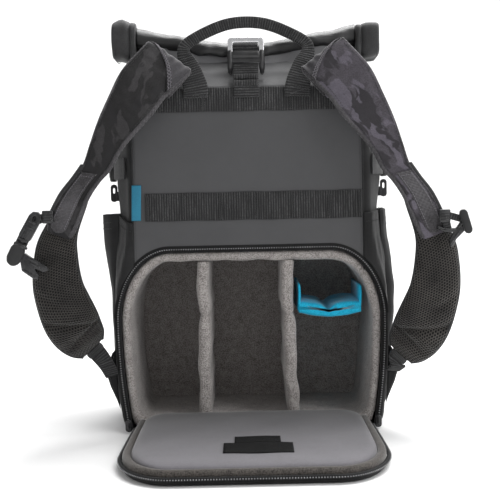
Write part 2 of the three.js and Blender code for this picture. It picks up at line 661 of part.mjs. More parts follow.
// Spline through a list of numbers or vectors, by index
function splined(values, share) {
  const asVectors = values.map((v) => (typeof v === 'number' ? new THREE.Vector3(v, 0, 0) : v));
  const at = share * (values.length - 1);
  const i = Math.min(Math.floor(at), values.length - 2);
  const pick = (k) => asVectors[Math.max(0, Math.min(values.length - 1, k))];
  const t = at - i;
  const [p0, p1, p2, p3] = [pick(i - 1), pick(i), pick(i + 1), pick(i + 2)];
  const blend = (a, b, c, d) => 0.5 * (2 * b + (c - a) * t + (2 * a - 5 * b + 4 * c - d) * t * t
    + (3 * b - a - 3 * c + d) * t ** 3);
  const point = new THREE.Vector3(
    blend(p0.x, p1.x, p2.x, p3.x), blend(p0.y, p1.y, p2.y, p3.y), blend(p0.z, p1.z, p2.z, p3.z));
  return typeof values[0] === 'number' ? point.x : point;
}

// Strap through stations { at, across, wide, thick }: across points over the strap's width.
function strap(stations, profile, steps) {
  const rings = [];
  const delta = 0.25 / steps;
  const column = (key) => stations.map((row) => row[key]);
  for (let i = 0; i <= steps; i += 1) {
    const share = i / steps;
    const centre = splined(column('at'), share);
    const ahead = splined(column('at'), Math.min(1, share + delta));
    const behind = splined(column('at'), Math.max(0, share - delta));
    const tangent = ahead.sub(behind).normalize();
    const across = splined(column('across'), share).normalize();
    const normal = new THREE.Vector3().crossVectors(across, tangent).normalize();
    const halfWide = splined(column('wide'), share) / 2;
    const halfThick = splined(column('thick'), share) / 2;
    rings.push(profile.map(([u, v]) => centre.clone()
      .addScaledVector(across, u * halfWide).addScaledVector(normal, v * halfThick)));
  }
  return loft(rings);
}

// Strap that faces the harness side all along, so its width lies in the upright plane.
function facingStrap(points, widths, thicks, steps) {
  const forward = new THREE.Vector3(0, -1, 0);
  const stations = points.map((at, i) => {
    const tangent = points[Math.min(points.length - 1, i + 1)].clone().sub(points[Math.max(0, i - 1)]);
    return { at, across: tangent.cross(forward).normalize(), wide: widths[i], thick: thicks[i] };
  });
  return strap(stations, WEB_PROFILE, steps);
}

// Strap whose width lies along X, such as the closure webbing.
function levelStrap(points, wide, steps) {
  const across = new THREE.Vector3(1, 0, 0);
  return strap(points.map((at) => ({ at, across, wide, thick: WEB_THICK })), WEB_PROFILE, steps);
}

// Two flat webbing bands sewn across the back panel, and the folded side tab
function makeBands() {
  const face = -HALF_DEPTH - GAP;
  for (const [name, band] of [['web_band_upper', BAND_UPPER], ['web_band_lower', BAND_LOWER]]) {
    const outline = roundedRect(band.x - band.wide / 2, band.low, band.wide, band.tall, 1, 1);
    addPiece(name, uprightPlate(shapeOf(outline), face - WEB_THICK, face), COLORS.webbing, 0.85);
  }
  const tab = roundedRect(LABEL.x - LABEL.wide / 2, LABEL.low, LABEL.wide, LABEL.tall, 1, 1);
  addPiece('side_label', uprightPlate(shapeOf(tab), face - LABEL.thick, face), COLORS.teal, 0.6);
}

const BAND_FACE = -HALF_DEPTH - GAP - WEB_THICK - GAP;

// Webbing carry handle: flat legs sewn over the upper band, and a folded grip between them
function makeHandle() {
  const mirrored = HANDLE_ROWS.slice(0, -1).reverse().map((row) => ({ ...row, span: -row.span }));
  const rows = [...HANDLE_ROWS, ...mirrored];
  const sewnY = BAND_FACE - HANDLE_THICK * rows[0].thick / 2 - GAP;
  const gripY = -HALF_DEPTH + HANDLE_STAND;
  const points = rows.map((row) => new THREE.Vector3(
    row.span * HANDLE_HALF_SPAN,
    sewnY + (gripY - sewnY) * row.stand,
    HANDLE_BASE_Z + row.rise * HANDLE_RISE,
  ));
  const widths = rows.map((row) => row.wide * HANDLE_BASE_WIDE);
  const thicks = rows.map((row) => row.thick * HANDLE_THICK);
  addPiece('carry_handle', facingStrap(points, widths, thicks, 36), COLORS.webbing, 0.85);
}

// Height of the roll's middle above the shell's top, so that the roll rests on it
const ROLL_CENTRE = BODY_HEIGHT + GAP + ROLL_HALF_TALL * ROLL_SECTIONS[0].tall + ROLL_SAG;

function ovalRing(x, centreZ, halfTall, halfDeep, sides = 14) {
  return Array.from({ length: sides }, (_, i) => {
    const angle = (2 * Math.PI * i) / sides;
    const square = (value) => Math.sign(value) * Math.abs(value) ** 0.8;
    return new THREE.Vector3(
      x, ROLL_Y + halfDeep * square(Math.cos(angle)), centreZ + halfTall * square(Math.sin(angle)));
  });
}

// Rolled-down top: flattened in the middle by the closure, standing round at its ends
function makeRoll() {
  const mirrored = ROLL_SECTIONS.slice(1).map((row) => ({ ...row, along: -row.along }));
  const rows = [...mirrored.reverse(), ...ROLL_SECTIONS];
  const rings = rows.map((row) => ovalRing(
    row.along * ROLL_HALF_LENGTH,
    ROLL_CENTRE - row.drop * ROLL_SAG,
    row.tall * ROLL_HALF_TALL,
    row.deep * ROLL_HALF_DEEP,
  ));
  addPiece('bag_roll', loft(rings), COLORS.gusset, 0.7);
  for (const [side, sign] of [['left', -1], ['right', 1]]) {
    const cuff = CUFF_SECTIONS.map((row) => ovalRing(
      sign * (ROLL_HALF_LENGTH + GAP + row.along * CUFF_LENGTH),
      ROLL_CENTRE + row.lift * ROLL_HALF_TALL - CUFF_DROP,
      row.size * (ROLL_HALF_TALL + CUFF_OVER),
      row.size * (ROLL_HALF_DEEP + CUFF_OVER / 2),
    ));
    addPiece(`roll_cuff_${side}`, loft(cuff), COLORS.gusset, 0.8);
  }
}

// Closure: webbing over the roll, a metal hook on it, and a webbing loop on the panel
function makeClosure() {
  const frame = shapeOf(
    roundedRect(-HOOK.half, HOOK.low, 2 * HOOK.half, HOOK.top - HOOK.low, 3),
    [roundedRect(-HOOK.half + HOOK.bar, HOOK.low + HOOK.bar, 2 * (HOOK.half - HOOK.bar),
      HOOK.top - HOOK.low - 2 * HOOK.bar, 1.5, 1)],
  );
  addPiece('closure_hook', uprightPlate(frame, HOOK.rear - HOOK.thick, HOOK.rear), COLORS.silver, 0.35, 0.9);
  const top = HOOK.low - GAP;
  const foot = top - KEEPER_TALL;
  const inner = HOOK.half - KEEPER_BAR;
  const keeper = shapeOf([
    [-HOOK.half, foot + KEEPER_CORNER.tall], [-HOOK.half + KEEPER_CORNER.wide, foot],
    [-inner, foot + KEEPER_CORNER.wide], [-inner, top - KEEPER_BAR], [inner, top - KEEPER_BAR],
    [inner, foot + KEEPER_CORNER.wide], [HOOK.half - KEEPER_CORNER.wide, foot],
    [HOOK.half, foot + KEEPER_CORNER.tall], [HOOK.half, top], [-HOOK.half, top],
  ]);
  const keeperPlate = uprightPlate(keeper, HOOK.rear - KEEPER_THICK, HOOK.rear);
  addPiece('closure_keeper', keeperPlate, COLORS.plastic, 0.5);

  const lowerTop = top - KEEPER_BAR - GAP - CLOSURE_TAIL.below;
  const sewnY = BAND_FACE - WEB_THICK / 2 - GAP;
  const lower = [
    [sewnY, HANDLE_BASE_Z], [sewnY, BAND_UPPER.low + BAND_UPPER.tall],
    [HOOK.rear - CLOSURE_TAIL.stand, HOOK.low - KEEPER_TALL - CLOSURE_TAIL.below],
    [HOOK.rear - CLOSURE_TAIL.topStand, lowerTop],
  ];
  const lowerPath = lower.map(([y, z]) => new THREE.Vector3(CLOSURE_X, y, z));
  addPiece('closure_web_lower', levelStrap(lowerPath, CLOSURE_WIDE, 9), COLORS.webbing, 0.85);

  const rollTop = ROLL_CENTRE - ROLL_SAG + ROLL_HALF_TALL * ROLL_SECTIONS[0].tall;
  const over = rollTop + GAP + WEB_THICK / 2 + CLOSURE_EASE;
  const front = CLOSURE_FRONT.map(({ depth, height }) => [HALF_DEPTH * depth, BODY_HEIGHT * height]);
  const overRoll = CLOSURE_OVER.map(({ deep, tall }) => (
    [ROLL_Y + ROLL_HALF_DEEP * deep, over + ROLL_HALF_TALL * tall]));
  const behindHook = HOOK.rear + WEB_THICK / 2 + GAP + CLOSURE_END.back;
  const upper = [
    ...front, ...overRoll,
    [behindHook, HOOK.top - HOOK.bar - CLOSURE_END.above], [behindHook, HOOK.low + CLOSURE_END.above],
  ];
  const upperPath = upper.map(([y, z]) => new THREE.Vector3(CLOSURE_X, y, z));
  addPiece('closure_web_top', levelStrap(upperPath, CLOSURE_WIDE, 24), COLORS.webbing, 0.85);
}

// One station of a shoulder strap in millimetres
function strapStation(row, sign, side, thick) {
  const ease = 1 - Math.min(1, row.height);
  const x = row.x * STRAP_REACH + SWING[side] * ease;
  const z = row.height * BODY_HEIGHT + LIFT[side] * ease;
  const lean = THREE.MathUtils.degToRad(row.lean);
  return {
    at: new THREE.Vector3(sign * x, -HALF_DEPTH - row.out * STRAP_FORWARD, z),
    across: new THREE.Vector3(-sign * Math.cos(lean), 0, Math.sin(lean)),
    wide: row.wide * STRAP_WIDE,
    thick,
  };
}

// Point on a strap's edge: -1 is the outer edge and 1 the inner one, moved past it by extra.
function strapEdge(station, edge, extra) {
  return station.at.clone().addScaledVector(station.across, edge * (station.wide / 2 + extra));
}

// Shoulder strap: a folded camouflage yoke over a padded mesh strap
function makeStrap(side, sign) {
  const yoke = YOKE_STATIONS.map((row) => strapStation(row, sign, side, YOKE_THICK));
  yoke[0].thick = 3;
  yoke[1].thick = 3;
  addPiece(`strap_yoke_${side}`, strap(yoke, WEB_PROFILE, 34), COLORS.camo, 0.85);
  const pad = PAD_STATIONS.map((row) => strapStation(row, sign, side, PAD_THICK * row.thick));
  addPiece(`strap_pad_${side}`, strap(pad, PAD_PROFILE, 22), COLORS.mesh, 0.95);

  const railRows = yoke.slice(RAIL.firstRow, RAIL.lastRow + 1);
  const rail = railRows.map((station) => {
    const atEnd = station === railRows[0] || station === railRows.at(-1);
    const at = strapEdge(station, -1, atEnd ? RAIL.endStand : RAIL.stand);
    return { at, across: station.across, wide: RAIL.wide, thick: RAIL.thick };
  });
  addPiece(`strap_rail_${side}`, strap(rail, WEB_PROFILE, 8), COLORS.webbing, 0.85);
  makeSternum(side, sign, yoke[RAIL.lastRow], rail.at(-1));
  makeLowerWeb(side, sign, pad.at(-1));
}

// Drawing points, given outward and up from an anchor, turned into X and Z
function placed(points, sign, anchor) {
  return points.map(({ out, up }) => [anchor.x + sign * out, anchor.z + up]);
}

// Half of the sternum strap: its slider on the rail, its webbing end and its half of the clip
function makeSternum(side, sign, station, railEnd) {
  const face = station.at.y - YOKE_THICK / 2 - GAP;
  const nearY = face - HARDWARE_THICK;
  const drawn = (points) => placed(points, sign, railEnd.at);
  const bar = (row, turns) => barOutline(...drawn([row.from, row.to]), row.wide, turns);
  const plate = (name, shape, near, far, color) => addPiece(name, uprightPlate(shape, near, far), color, 0.5);
  plate(`sternum_slider_${side}`, shapeOf(drawn(STERNUM_SLIDER)), face - SLIDER_THICK, face, COLORS.plastic);
  if (side === 'left') {
    const loop = shapeOf(bar(STERNUM_LOOP), [bar(STERNUM_EYE, 2)]);
    plate('sternum_loop_left', loop, nearY, face, COLORS.plastic);
  }
  const rolled = shapeOf(bar(STERNUM_ROLL[side]));
  plate(`sternum_web_${side}`, rolled, nearY - ROLLED_WEB.front, face - ROLLED_WEB.back, COLORS.webbing);
  plate(`sternum_clip_${side}`, shapeOf(drawn(STERNUM_CLIP[side])), nearY, face, COLORS.plastic);
}

// Ladder lock under the pad, webbing from it, and the cloth wing that anchors it to the bag
function makeLowerWeb(side, sign, end) {
  const edgeAt = (z) => (
    Math.max(bodyMeasure('back', z), bodyMeasure('side', z)) * BODY_HALF_WIDTH + GAP);
  const wingLow = WING_TOP - WING_TALL;
  const bend = BODY_SECTIONS[3].height * BODY_HEIGHT;
  const outer = WING_OUTLINE.map(({ out, up }) => {
    const z = wingLow + up * WING_TALL;
    return [sign * (edgeAt(z) + out * WING_WIDE), z];
  });
  const wing = uprightPlate(shapeOf([...outer, [sign * edgeAt(bend), bend]]), WING_Y, WING_Y + WING_THICK);
  addPiece(`strap_wing_${side}`, wing, COLORS.gusset, 0.8);

  const rootZ = WING_TOP - WING_TALL / 2;
  const rootX = edgeAt(WING_TOP) + STRAP_WEB_WIDE / 2 + GAP;
  const root = new THREE.Vector3(sign * rootX, WING_Y - GAP - WEB_THICK / 2, rootZ);
  const down = new THREE.Vector3(-sign * end.across.z, 0, sign * end.across.x);
  const lockFrom = end.at.clone().addScaledVector(down, LOCK_GAP);
  const lockTo = end.at.clone().addScaledVector(down, LOCK_LONG);
  const flat = (at, across, wide, thick) => ({ at, across, wide, thick });
  const lockWide = STRAP_WEB_WIDE + LOCK_OVER;
  const lock = [flat(lockFrom, end.across, lockWide, HARDWARE_THICK),
    flat(lockTo, end.across, lockWide, HARDWARE_THICK - 1)];
  addPiece(`strap_lock_${side}`, strap(lock, WEB_PROFILE, 1), COLORS.plastic, 0.5);
  const webFrom = lockTo.clone().addScaledVector(down, LOCK_GAP);
  const run = root.clone().sub(webFrom).setY(0).normalize();
  const rootAcross = new THREE.Vector3(-Math.abs(run.z) * sign, 0, Math.abs(run.x));
  const bowY = -HALF_DEPTH - GAP - ZIP_THICK - GAP - WEB_THICK;
  const bow = new THREE.Vector3(root.x, bowY, (webFrom.z + root.z) / 2 + LOWER_WEB_BOW);
  const web = [
    flat(webFrom, end.across, STRAP_WEB_WIDE, WEB_THICK),
    flat(bow, rootAcross, STRAP_WEB_WIDE, WEB_THICK),
    flat(root, rootAcross, STRAP_WEB_WIDE, WEB_THICK),
  ];
  addPiece(`strap_web_${side}`, strap(web, WEB_PROFILE, 5), COLORS.webbing, 0.85);
}

// Open-topped pocket sewn to the body's side
function makePocket(side, sign) {
  const tall = POCKET_MOUTH - POCKET_LOW;
  const ring = (row, wall, lift) => {
    const z = POCKET_LOW + row.share * tall;
    const root = bodyMeasure('side', z) * BODY_HALF_WIDTH + GAP;
    const out = row[side] * POCKET_DEEP;
    const long = POCKET_FRONT - POCKET_REAR;
    return POCKET_PLAN.map(({ reach, along }) => {
      const stand = Math.max(wall, reach * out - wall);
      const y = POCKET_REAR + wall + along * (long - 2 * wall);
      return new THREE.Vector3(sign * (root + stand), y, z + lift);
    });
  };
  const outer = loft(POCKET_SECTIONS.map((row) => ring(row, 0, 0)));
  const last = POCKET_SECTIONS.at(-1);
  const hollowRows = POCKET_SECTIONS.slice(1).map((row) => ring(row, POCKET_WALL, 0));
  const hollow = loft([...hollowRows, ring(last, POCKET_WALL, POCKET_HEADROOM)]);
  addPiece(`side_pocket_${side}`, carve(outer, hollow), COLORS.gusset, 0.75);
}

// Compression webbing around the side, its lock, and the small cord loop under it
function makeSideStrap(side, sign) {
  const z = COMPRESSION.low + COMPRESSION.tall / 2;
  const half = bodyMeasure('side', z) * BODY_HALF_WIDTH;
  const back = bodyMeasure('back', z) * BODY_HALF_WIDTH;
  const slopeEnd = -HALF_DEPTH + bodyMeasure('slope', z) * HALF_DEPTH;
  const off = GAP + WEB_THICK / 2 + COMPRESSION.ease;
  const { seamStand, seamIn, bend, straight } = COMPRESSION;
  const path = [
    [back + seamStand, -HALF_DEPTH + seamIn], [(back + half) / 2 + off, (slopeEnd - HALF_DEPTH) / 2 - bend],
    [half + off, slopeEnd + bend], [half + off, slopeEnd + straight], [half + off, HALF_DEPTH / 2],
  ];
  const across = new THREE.Vector3(0, 0, 1);
  const stations = path.map(([x, y]) => (
    { at: new THREE.Vector3(sign * x, y, z), across, wide: COMPRESSION.tall, thick: WEB_THICK }));
  addPiece(`compression_web_${side}`, strap(stations, WEB_PROFILE, 12), COLORS.webbing, 0.85);

  const lockNear = half + off + WEB_THICK / 2 + GAP;
  const lockOutline = roundedRect(
    COMPRESSION.lockRear, z - COMPRESSION.lockTall / 2, COMPRESSION.lockDeep, COMPRESSION.lockTall, 4);
  const xs = [sign * lockNear, sign * (lockNear + COMPRESSION.lockThick)].sort((a, b) => a - b);
  addPiece(`compression_lock_${side}`, sidePlate(shapeOf(lockOutline), ...xs), COLORS.plastic, 0.5);

  const { cord, wide, tall } = CORD_LOOP;
  const loopZ = COMPRESSION.low - CORD_LOOP.below;
  const loopX = bodyMeasure('side', loopZ + CORD_LOOP.low) * BODY_HALF_WIDTH + GAP;
  const eye = roundedRect(loopX + cord, loopZ, wide - 2 * cord, tall / 3, 1, 1);
  const loop = shapeOf(
    roundedRect(loopX, loopZ - CORD_LOOP.low, wide, tall, 3).map(([x, y]) => [sign * x, y]),
    [eye.map(([x, y]) => [sign * x, y])],
  );
  const plate = uprightPlate(loop, CORD_LOOP.rear, CORD_LOOP.rear + CORD_LOOP.deep);
  addPiece(`side_loop_${side}`, plate, COLORS.webbing, 0.8);
}

makeShell();
makeLining();
makeDivider('divider_left', DIVIDER_LEFT_X, -1);
makeDivider('divider_right', DIVIDER_RIGHT_X - 2, 5);
makeShelf();
makeZips();
makeDoor();
makeBands();
makeHandle();
makeRoll();
makeClosure();
for (const [side, sign] of [['left', -1], ['right', 1]]) {
  makeStrap(side, sign);
  makePocket(side, sign);
  makeSideStrap(side, sign);
}

export default pack;
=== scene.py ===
"""Roll-top camera backpack standing with its back door let down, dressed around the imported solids."""
import math

import bmesh
import bpy
import numpy as np
from mathutils import Euler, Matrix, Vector


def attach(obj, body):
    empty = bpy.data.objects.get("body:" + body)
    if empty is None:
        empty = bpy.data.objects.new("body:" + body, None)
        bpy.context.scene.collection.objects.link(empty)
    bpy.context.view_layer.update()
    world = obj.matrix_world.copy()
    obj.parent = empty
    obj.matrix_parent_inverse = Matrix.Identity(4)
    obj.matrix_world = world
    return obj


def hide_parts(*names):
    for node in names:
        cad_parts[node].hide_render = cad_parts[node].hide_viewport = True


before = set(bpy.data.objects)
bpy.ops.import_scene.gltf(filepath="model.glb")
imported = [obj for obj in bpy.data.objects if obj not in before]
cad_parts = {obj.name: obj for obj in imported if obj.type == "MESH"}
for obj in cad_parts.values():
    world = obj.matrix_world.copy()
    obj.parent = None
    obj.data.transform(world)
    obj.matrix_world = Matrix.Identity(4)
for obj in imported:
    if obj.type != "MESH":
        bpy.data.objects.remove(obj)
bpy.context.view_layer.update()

# Camera, floor and light: the product stands on a white sweep, seen from the harness side a
# little above the middle, under one broad top light with soft fill from both sides.
AIM = Vector((0.0, -0.080, 0.191))
DISTANCE, RISE, ROLL = 1.070, math.radians(3.2), math.radians(1.2)
eye = AIM + DISTANCE * Vector((0, -math.cos(RISE), math.sin(RISE)))
camera_data = bpy.data.cameras.new("camera")
camera_data.lens = 73.37
camera_data.sensor_width = 36
camera = bpy.data.objects.new("camera", camera_data)
bpy.context.collection.objects.link(camera)
camera.location = eye
look = (AIM - eye).to_track_quat("-Z", "Y")
camera.rotation_euler = (look @ Euler((0, 0, -ROLL)).to_quaternion()).to_euler()
bpy.context.scene.camera = camera
bpy.context.scene.view_settings.view_transform = "Standard"


def link_mesh(name, mesh):
    obj = bpy.data.objects.new(name, mesh)
    bpy.context.collection.objects.link(obj)
    return obj


sweep = bpy.data.meshes.new("floor")
profile = [(-6.0, 0.0), (1.2, 0.0)]
profile += [(1.2 + 0.8 * math.sin(a), 0.8 - 0.8 * math.cos(a)) for a in np.linspace(0.1, math.pi / 2, 12)]
profile += [(2.0, 5.0)]
corners = [(x, y, z) for y, z in profile for x in (-6.0, 6.0)]
sweep.from_pydata(corners, [], [(2 * i, 2 * i + 1, 2 * i + 3, 2 * i + 2) for i in range(len(profile) - 1)])
sweep.polygons.foreach_set("use_smooth", [True] * len(sweep.polygons))
floor = link_mesh("floor", sweep)
floor_look = bpy.data.materials.new("white_sweep")
floor_look.use_nodes = True
floor_shader = floor_look.node_tree.nodes["Principled BSDF"]
floor_shader.inputs["Base Color"].default_value = (0.93, 0.93, 0.93, 1)
floor_shader.inputs["Roughness"].default_value = 0.7
floor_shader.inputs["Specular IOR Level"].default_value = 0.2
sweep.materials.append(floor_look)

world = bpy.data.worlds.new("studio")
bpy.context.scene.world = world
world.use_nodes = True
world.node_tree.nodes["Background"].inputs["Color"].default_value = (1, 1, 1, 1)
world.node_tree.nodes["Background"].inputs["Strength"].default_value = 0.5


def softbox(name, place, wide, tall, power):
    light = bpy.data.lights.new(name, "AREA")
    light.shape = "RECTANGLE"
    light.size, light.size_y, light.energy = wide, tall, power
    obj = bpy.data.objects.new(name, light)
    obj.location = place
    obj.rotation_euler = (AIM - Vector(place)).to_track_quat("-Z", "Y").to_euler()
    bpy.context.collection.objects.link(obj)


softbox("top_light", (0.45, 0.45, 1.75), 1.8, 1.1, 56)
softbox("left_light", (-1.7, -1.1, 0.9), 1.0, 1.6, 2)
softbox("right_light", (1.5, -1.2, 1.1), 1.0, 1.6, 16)

# Body: a boxy shell of coated cloth. The harness panel is smooth and narrower than the side
# gussets of packcloth, the doorway is cut through it, and its corners are sewn seams.
MM = 0.001
BODY_HEIGHT, BODY_HALF, DEPTH_HALF = 391, 147, 80
CLEAR = 0.3


def tone(value):
    """A colour given as eight-bit sRGB, turned to linear."""
    rgb = [((value >> shift) & 255) / 255 for shift in (16, 8, 0)]
    return tuple(c / 12.92 if c <= 0.04045 else ((c + 0.055) / 1.055) ** 2.4 for c in rgb) + (1.0,)


def spline(values, steps):
    """Catmull-Rom through rows of numbers, resampled evenly by index."""
    rows = np.asarray(values, float)
    flat = rows.reshape(len(rows), -1)
    at = np.linspace(0, len(rows) - 1, steps)
    i = np.minimum(at.astype(int), len(rows) - 2)
    t = (at - i)[:, None]
    p = [flat[np.clip(i + k, 0, len(rows) - 1)] for k in (-1, 0, 1, 2)]
    out = 0.5 * (2 * p[1] + (p[2] - p[0]) * t + (2 * p[0] - 5 * p[1] + 4 * p[2] - p[3]) * t ** 2
                 + (3 * p[1] - p[0] - 3 * p[2] + p[3]) * t ** 3)
    return out.reshape((steps,) + rows.shape[1:])


def folds(points, size, seed, waves=14):
    """Smooth even noise between -1 and 1 at each point, with features about size millimetres wide."""
    draw = np.random.RandomState(seed)
    total = np.zeros(points.shape[:-1])
    for _ in range(waves):
        way = draw.normal(size=3)
        way /= np.linalg.norm(way)
        pitch = size * draw.uniform(0.7, 2.2)
        total += np.sin(points @ way * 2 * np.pi / pitch + draw.uniform(0, 6.28))
    return total / math.sqrt(waves)


def skin(name, rings, look, closed=True, caps=True, smooth=True):
    """Mesh over rings[row][point] in millimetres, with a UV map in metres along and around it."""
    rings = np.asarray(rings, float)
    rows, count = rings.shape[:2]
    faces, uvs = [], []
    wrapped = np.concatenate([rings, rings[:, :1]], axis=1) if closed else rings
    around = np.linalg.norm(np.diff(wrapped, axis=1), axis=2)
    u = np.concatenate([np.zeros((rows, 1)), np.cumsum(around, axis=1)], axis=1) * MM
    along = np.linalg.norm(np.diff(rings, axis=0), axis=2).mean(axis=1)
    v = np.concatenate([[0], np.cumsum(along)]) * MM
    for r in range(rows - 1):
        for i in range(count if closed else count - 1):
            j = (i + 1) % count
            faces.append((r * count + i, r * count + j, (r + 1) * count + j, (r + 1) * count + i))
            uvs += [(u[r, i], v[r]), (u[r, i + 1], v[r])]
            uvs += [(u[r + 1, i + 1], v[r + 1]), (u[r + 1, i], v[r + 1])]
    points = [tuple(p) for p in rings.reshape(-1, 3) * MM]
    if caps:
        for row, flip in ((0, True), (rows - 1, False)):
            hub = len(points)
            middle = rings[row].mean(axis=0) * MM
            points.append(tuple(middle))
            for i in range(count):
                a, b = row * count + i, row * count + (i + 1) % count
                faces.append((b, a, hub) if flip else (a, b, hub))
                uvs += [(u[row, i], v[row])] * 3
    return mesh_piece(name, points, faces, uvs, look, smooth)


def mesh_piece(name, points, faces, uvs, look, smooth=True):
    mesh = bpy.data.meshes.new(name)
    mesh.from_pydata(points, [], faces)
    if uvs:
        layer = mesh.uv_layers.new(name="Cloth")
        layer.data.foreach_set("uv", np.asarray(uvs, np.float32).ravel())
    tidy = bmesh.new()
    tidy.from_mesh(mesh)
    bmesh.ops.recalc_face_normals(tidy, faces=tidy.faces)
    tidy.to_mesh(mesh)
    tidy.free()
    mesh.polygons.foreach_set("use_smooth", [smooth] * len(mesh.polygons))
    mesh.materials.append(look)
    obj = link_mesh(name, mesh)
    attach(obj, "root")
    return obj


def apply_modifiers(obj):
    bpy.context.view_layer.update()
    baked = bpy.data.meshes.new_from_object(obj.evaluated_get(bpy.context.evaluated_depsgraph_get()))
    obj.modifiers.clear()
    obj.data = baked


def thickened(obj, thick, offset=0):
    """Gives a one-sided sheet its thickness in millimetres."""
    solid = obj.modifiers.new("thickness", "SOLIDIFY")
    solid.thickness, solid.offset = thick * MM, offset
    apply_modifiers(obj)
    return obj


def socket(tree, name, kind, value=None, out=False):
    way = "OUTPUT" if out else "INPUT"
    made = tree.interface.new_socket(name, in_out=way, socket_type=f"NodeSocket{kind}")
    if value is not None:
        made.default_value = value
    return made


class Graph:
    """Short hand for wiring nodes in one tree."""

    def __init__(self, tree):
        self.tree = tree

    def node(self, kind, **settings):
        made = self.tree.nodes.new(f"ShaderNode{kind}")
        for key, value in settings.items():
            setattr(made, key, value)
        return made

    def feed(self, target, value):
        if isinstance(value, bpy.types.NodeSocket):
            self.tree.links.new(value, target)
        elif value is not None:
            target.default_value = value

    def math(self, operation, a, b=None, c=None, clamp=False):
        made = self.node("Math", operation=operation, use_clamp=clamp)
        for place, value in zip(made.inputs, (a, b, c)):
            self.feed(place, value)
        return made.outputs[0]

    def noise(self, vector, scale, detail=3.0, rough=0.6, stretch=None):
        if stretch:
            mapped = self.node("Mapping")
            mapped.inputs["Scale"].default_value = stretch
            self.feed(mapped.inputs["Vector"], vector)
            vector = mapped.outputs[0]
        made = self.node("TexNoise")
        self.feed(made.inputs["Vector"], vector)
        self.feed(made.inputs["Scale"], scale)
        made.inputs["Detail"].default_value = detail
        made.inputs["Roughness"].default_value = rough
        return made.outputs["Fac"]

    def span(self, value, low, high, new_low=0.0, new_high=1.0):
        made = self.node("MapRange")
        made.inputs["From Min"].default_value = low
        made.inputs["From Max"].default_value = high
        made.inputs["To Min"].default_value = new_low
        made.inputs["To Max"].default_value = new_high
        self.feed(made.inputs["Value"], value)
        return made.outputs["Result"]

    def mix(self, share, a, b):
        made = self.node("Mix", data_type="RGBA")
        self.feed(made.inputs[0], share)
        self.feed(made.inputs[6], a)
        self.feed(made.inputs[7], b)
        return made.outputs[2]


def effect(name, inputs, outputs):
    """Shader node group with named sockets, and the graph, inputs and outputs to wire it with."""
    tree = bpy.data.node_groups.new(name, "ShaderNodeTree")
    for label, kind, value in inputs:
        socket(tree, label, kind, value)
    for label, kind in outputs:
        socket(tree, label, kind, out=True)
    entry = tree.nodes.new("NodeGroupInput").outputs
    result = tree.nodes.new("NodeGroupOutput").inputs
    return tree, Graph(tree), entry, result


# Over-and-under weave: crossing threads of one pitch, with uneven yarn.
weave, g, given, out = effect(
    "Plain Weave", [("Place", "Vector", None), ("Thread", "Float", 0.0007), ("Unevenness", "Float", 0.3)],
    [("Height", "Float"), ("Yarn", "Float")])
parts = g.node("SeparateXYZ")
g.feed(parts.inputs[0], given["Place"])
turns = g.math("DIVIDE", math.pi, given["Thread"])
warp = g.math("SINE", g.math("MULTIPLY", parts.outputs[0], turns))
weft = g.math("SINE", g.math("MULTIPLY", parts.outputs[1], turns))
crossing = g.math("MULTIPLY", warp, weft)
fuzz = g.noise(given["Place"], 900, 2)
g.feed(out["Height"], g.math("ADD", crossing, g.math("MULTIPLY", fuzz, given["Unevenness"])))
slub = g.span(g.noise(given["Place"], 760, 3, 0.7), 0.36, 0.64)
cloudy = g.span(g.noise(given["Place"], 140, 3), 0.3, 0.7, 0, 0.4)
g.feed(out["Yarn"], g.math("ADD", g.math("MULTIPLY", slub, 0.6), cloudy))

# Ribs straight across a strap or band: thick cords of weft with a fine warp running over them.
ribs, g, given, out = effect(
    "Webbing Ribs", [("Place", "Vector", None), ("Pitch", "Float", 0.0023), ("Warp", "Float", 0.0009)],
    [("Height", "Float"), ("Rib Shade And Yarn Tone", "Float")])
parts = g.node("SeparateXYZ")
g.feed(parts.inputs[0], given["Place"])
drift = g.math("MULTIPLY", g.math("SUBTRACT", g.noise(given["Place"], 160, 2), 0.5), 0.0009)
run = g.math("ADD", parts.outputs[1], drift)
rib = g.math("SINE", g.math("DIVIDE", g.math("MULTIPLY", run, 2 * math.pi), given["Pitch"]))
cord = g.math("SINE", g.math("DIVIDE", g.math("MULTIPLY", parts.outputs[0], 2 * math.pi), given["Warp"]))
ridge = g.span(rib, -1, 1)
g.feed(out["Height"], g.math("ADD", ridge, g.math("MULTIPLY", cord, 0.22)))
uneven = g.noise(given["Place"], 330, 2, 0.6, (0.12, 1, 1))
patchy = g.noise(given["Place"], 620, 2)
cord_tone = g.math("MULTIPLY", g.span(uneven, 0.34, 0.66, 0.3, 1.0), g.span(patchy, 0.3, 0.7, 0.3, 1.0))
# Colour output: painted shade in the grooves and painted highlight on the rib crowns, times the yarn's uneven
# tone.
g.feed(out["Rib Shade And Yarn Tone"], g.math("MULTIPLY", ridge, cord_tone))

# Heather: short fibres of two tones, brushed up.
heather, g, given, out = effect(
    "Heather", [("Place", "Vector", None), ("Fleck", "Float", 1500.0)],
    [("Mix", "Float"), ("Height", "Float")])
fine = g.noise(given["Place"], given["Fleck"], 3, 0.7)
broad = g.noise(given["Place"], 120, 2)
g.feed(out["Mix"], g.math("ADD", g.span(fine, 0.36, 0.64), g.span(broad, 0.3, 0.7, -0.15, 0.15), clamp=True))
g.feed(out["Height"], fine)

# Soft creases and handling marks, broad and shallow.
handled, g, given, out = effect(
    "Handling", [("Place", "Vector", None), ("Size", "Float", 22.0)],
    [("Height", "Float"), ("Mark", "Float")])
soft = g.noise(given["Place"], given["Size"], 3, 0.55)
g.feed(out["Height"], soft)
g.feed(out["Mark"], g.span(soft, 0.35, 0.68))


